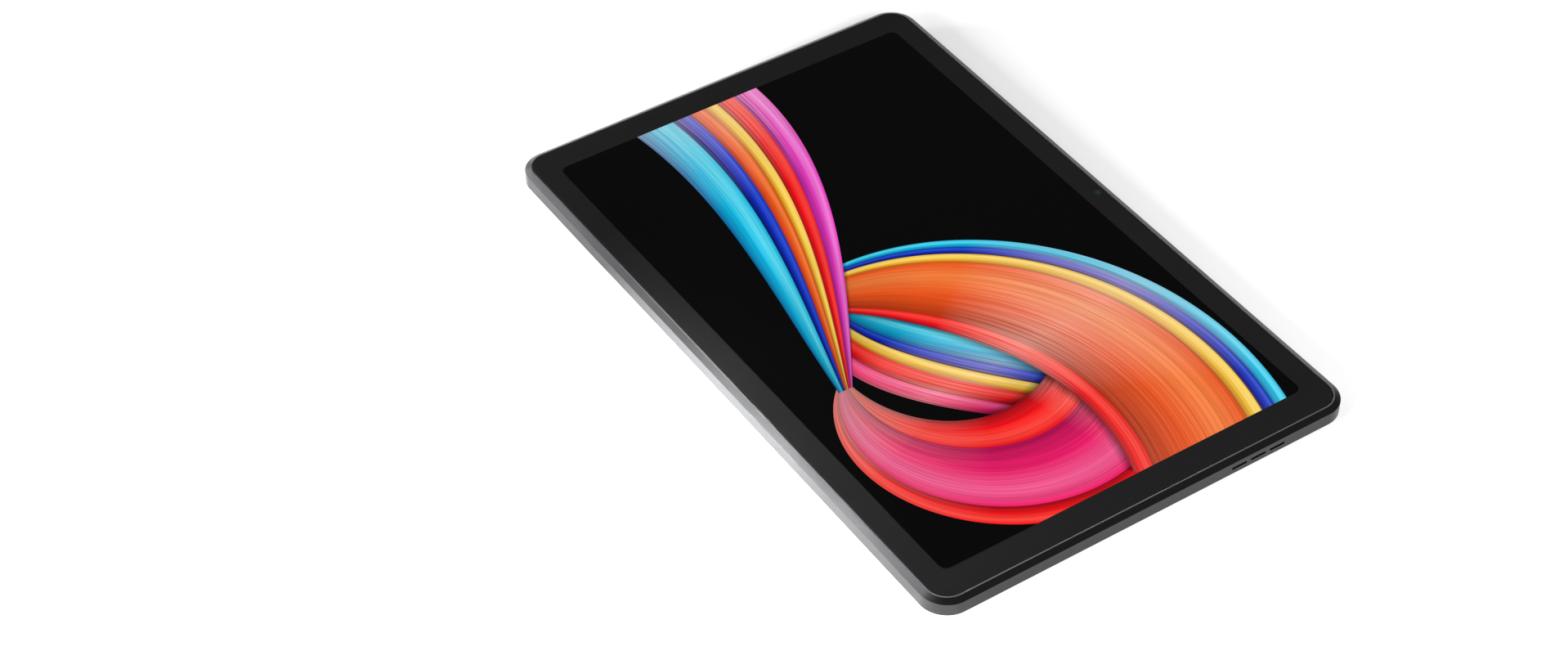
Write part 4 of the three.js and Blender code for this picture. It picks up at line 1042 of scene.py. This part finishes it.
def lit_picture(name):
    """Four bundles: one through the middle, a bowl, an arch over them, and one in front."""
    g = Picture(name)
    g.colour(g.ramp(g.noise(0.05, 2), shades((0.0004, 0.0004, 0.0004), 0.1)))
    g.rough(g.ramp(g.noise(0.08, 4), [(0.35, 0.05), (0.75, 0.08)]))
    image = g.lay(
        (0.0, 0.0, 0.0), g.level(0.0, 0.95, (-0.5, 1.15, 0.0, -0.33), (-0.5, 0.58, 0.06)),
        [(1.0, PINK), (1.1, RED), (0.9, GOLD), (0.8, BLUE), (2.1, CYAN)],
        [(0.0, 0.45), (0.3, 1.0), (0.55, 1.0), (0.8, 0.2)], [(0.2, 0.0), (0.5, 0.3), (0.65, 0.0)], 0)
    image = g.lay(
        image, g.around((0.47, -0.08), -114, 88, (-0.04, 0.0, 0.44), (-0.66, 0.78, 0.02)),
        [(1.3, RED), (2.4, PINK), (0.7, RED)],
        [(0.0, 0.6), (0.2, 0.95), (0.7, 1.0), (1.0, 0.1)],
        [(0.02, 0.55), (0.22, 0.1), (0.4, 0.0), (0.62, 0.0), (0.76, 0.22), (0.86, 0.0)])
    image = g.lay(
        image, g.around((0.5, -0.42), 181, 38, (0.5, -0.08, 0.6), (-0.42, 0.68, 0.03)),
        [(0.8, RED), (4.0, ORANGE), (0.65, GOLD), (0.5, BLUE), (0.55, CYAN)],
        [(0.0, 0.3), (0.16, 0.85), (0.3, 1.0), (1.0, 1.0)],
        [(0.36, 0.0), (0.6, 0.42), (0.8, 0.03), (1.0, 0.06)], lines=30.0)
    image = g.lay(
        image, g.level(-1.1, 0.31, (0.278, -0.776, 0.15, -0.14), (-0.14, -0.075, 0.24)),
        [(1.7, CYAN), (0.8, BLUE), (0.7, ORANGE), (0.6, GOLD), (0.8, RED), (1.1, VIOLET)],
        [(0.0, 0.95), (0.5, 1.0), (0.85, 0.8), (1.0, 0.5)], [(0.0, 0.35), (0.2, 0.08), (0.35, 0.0)])
    g.feed(g.shader.inputs["Emission Color"], image)
    return g.material


# ---------------------------------------------------------------------------------------------
# The object
# ---------------------------------------------------------------------------------------------

DARK_METAL = blasted_metal("dark_blasted_metal", (0.046, 0.046, 0.048), 0.36)
KEY_METAL = blasted_metal("key_metal", (0.3, 0.295, 0.3), 0.3)
BLACK_PLASTIC = moulded_plastic("black_plastic", (0.012, 0.012, 0.013))
STEEL = brushed_metal("steel_sheet", (0.55, 0.55, 0.56))
FRONT_GLASS = printed_glass("front_glass", (0.0072, 0.0072, 0.0074), 0.06)


def build_outside():
    """The pieces that show, each in place of the frame's own node."""
    # Near-black plastic on the speaker slots' walls is painted shade, not a real lining.
    painted_slot_shade = moulded_plastic("slot_painted_shade", (0.002, 0.002, 0.002), 0.9, specular=0.05)
    install(housing(), BODY, [DARK_METAL, painted_slot_shade], ["rear_shell"])
    # A lighter, less metallic colour for the trim's flat land beside the glass, which shows as a thin
    # bright line.
    lighter_land = blasted_metal("trim_lighter_land", (0.13, 0.13, 0.132), 0.45, metallic=0.5)
    install(trim(), BODY, [DARK_METAL, lighter_land], ["front_trim"])
    install(glass(), BODY, [FRONT_GLASS, lit_picture("screen_picture")], ["cover_glass"])
    # The spot's disc gets the lens's painted reflections and painted shade, dimmed to a quarter.
    spot = lens_painted_look("camera_spot_painted_light", middle("front_camera_lens"), CAMERA_SPOT_RADIUS, 0.25)
    install(camera_spot(), BODY, [spot])
    install(camera_plate(), BODY, [DARK_METAL], ["camera_plate"])
    pane = printed_glass("island_glass", (0.004, 0.004, 0.0042), 0.05)
    install(camera_window(), BODY, [pane], ["camera_window"])
    bright = polished_metal("bright_trim", (0.55, 0.55, 0.56))
    install(camera_ring(), BODY, [bright], ["camera_ring"])
    install(camera_bezel(), BODY, [BLACK_PLASTIC], ["camera_bezel"])
    for name, node, outward in (("main_lens", "rear_camera_lens", -1),
                                ("front_lens", "front_camera_lens", 1)):
        low, high = box(node)
        # The lens's colour is painted reflections and painted shade, by radius.
        lens_look = lens_painted_look(name + "_painted_light", middle(node), (high.x - low.x) / 2)
        install(dome(name, node, outward), BODY, [lens_look], [node])
    install(power_key(), "power_key", [KEY_METAL], ["power_button"])
    install(volume_key(), "rocker", [KEY_METAL], ["volume_rocker"])
    install(port_shell(), BODY, [STEEL], ["usb_shell"])
    install(port_tongue(), BODY, [BLACK_PLASTIC], ["usb_tongue"])
    gold = polished_metal("gold_contacts", (0.85, 0.6, 0.25))
    install(port_contacts(), BODY, [gold])


INSIDE = {
    "black_plastic": BLACK_PLASTIC,
    "steel_sheet": STEEL,
    "rubber": moulded_plastic("gasket_rubber", (0.01, 0.01, 0.01), 0.8, 2.0),
    "circuit_board": circuit_board("board_green"),
    "flex_film": film("flex_film"),
    "white_sheet": diffuser("light_guide"),
    "panel_glass": printed_glass("panel_glass", (0.006, 0.006, 0.007), 0.08),
    "cell_foil": pouch_foil("cell_foil"),
    "adhesive": moulded_plastic("foam_tape", (0.015, 0.015, 0.015), 0.85, 1.5),
    "speaker_cloth": woven("speaker_cloth"),
}


def finish_inside():
    """The frame's own nodes that stay get a material by the record's slot."""
    for part in frame["record"]["subparts"]:
        node = frame["nodes"][part["node"]]
        if not node.hide_render:
            material = INSIDE[part["material_slot"]]
            node.data.materials.clear()
            node.data.materials.append(material)


# ---------------------------------------------------------------------------------------------
# Camera, floor and light
# ---------------------------------------------------------------------------------------------

CAMERA_AZIMUTH = 52.96
CAMERA_ELEVATION = 41.87
CAMERA_DISTANCE = 987.6
CAMERA_LENS = 70.74
SENSOR_WIDTH = 36
FLOOR_REACH = 6000
FLOOR_GAP = 0.05  # below the object
AIM = Vector((-2.1, -49.6, GLASS_Z))  # the place on the glass that is in the middle of the frame
ROOM_LIGHT = (0.075, 0.075, 0.076, 1)


def direction(azimuth, elevation):
    """The way from the object to something seen from it at these angles. Azimuth 0 is -Y."""
    a, e = math.radians(azimuth), math.radians(elevation)
    return Vector((math.sin(a) * math.cos(e), -math.cos(a) * math.cos(e), math.sin(e)))


def look_at(thing, target):
    thing.rotation_euler = (target * MM - thing.location).to_track_quat("-Z", "Y").to_euler()


def make_camera():
    data = bpy.data.cameras.new("camera")
    data.lens = CAMERA_LENS
    data.sensor_width = SENSOR_WIDTH
    data.clip_start = 0.01
    camera = bpy.data.objects.new("camera", data)
    camera.location = (direction(CAMERA_AZIMUTH, CAMERA_ELEVATION) * CAMERA_DISTANCE) * MM
    camera.location.z += GLASS_Z * MM
    look_at(camera, AIM)
    bpy.context.scene.collection.objects.link(camera)
    bpy.context.scene.camera = camera


def make_light(name, azimuth, elevation, distance, size, power, target=(0, 0, 0), mirrored=True):
    """An area light. One that isn't mirrored lights the scene but never shows in glass or metal."""
    data = bpy.data.lights.new(name, "AREA")
    data.shape = "RECTANGLE"
    data.size, data.size_y = size[0] * MM, size[1] * MM
    data.energy = power
    lamp = bpy.data.objects.new(name, data)
    lamp.location = direction(azimuth, elevation) * distance * MM + Vector(target) * MM
    look_at(lamp, Vector(target))
    bpy.context.scene.collection.objects.link(lamp)
    lamp.visible_camera = False
    lamp.visible_glossy = mirrored


def make_stage():
    """The floor and the light of the room."""
    corners = [(x * FLOOR_REACH, y * FLOOR_REACH, 0) for x, y in ((-1, -1), (1, -1), (1, 1), (-1, 1))]
    floor = make_object("floor", corners, [(0, 1, 2, 3)])
    floor.data.materials.append(painted_floor("floor_paint"))
    floor.location.z = -FLOOR_GAP * MM
    world = bpy.data.worlds.new("world")
    world.use_nodes = True
    world.node_tree.nodes["Background"].inputs["Color"].default_value = ROOM_LIGHT
    bpy.context.scene.world = world
    bpy.context.scene.view_settings.view_transform = "Standard"


make_camera()
make_stage()
make_light("key", 85, 35, 1300, (900, 700), 28.5, mirrored=False)
make_light("front", 5, 22, 1400, (900, 400), 21.5, mirrored=False)
make_light("slope_panel", -54, 41, 1300, (1200, 900), 3.5)
make_light("left_edge", -56, 6, 170, (70, 30), 2.0, (-104, -78, 4))
make_light("near_edge", -56, 6, 150, (60, 30), 2.6, (112, -78, 4))
build_outside()
finish_inside()
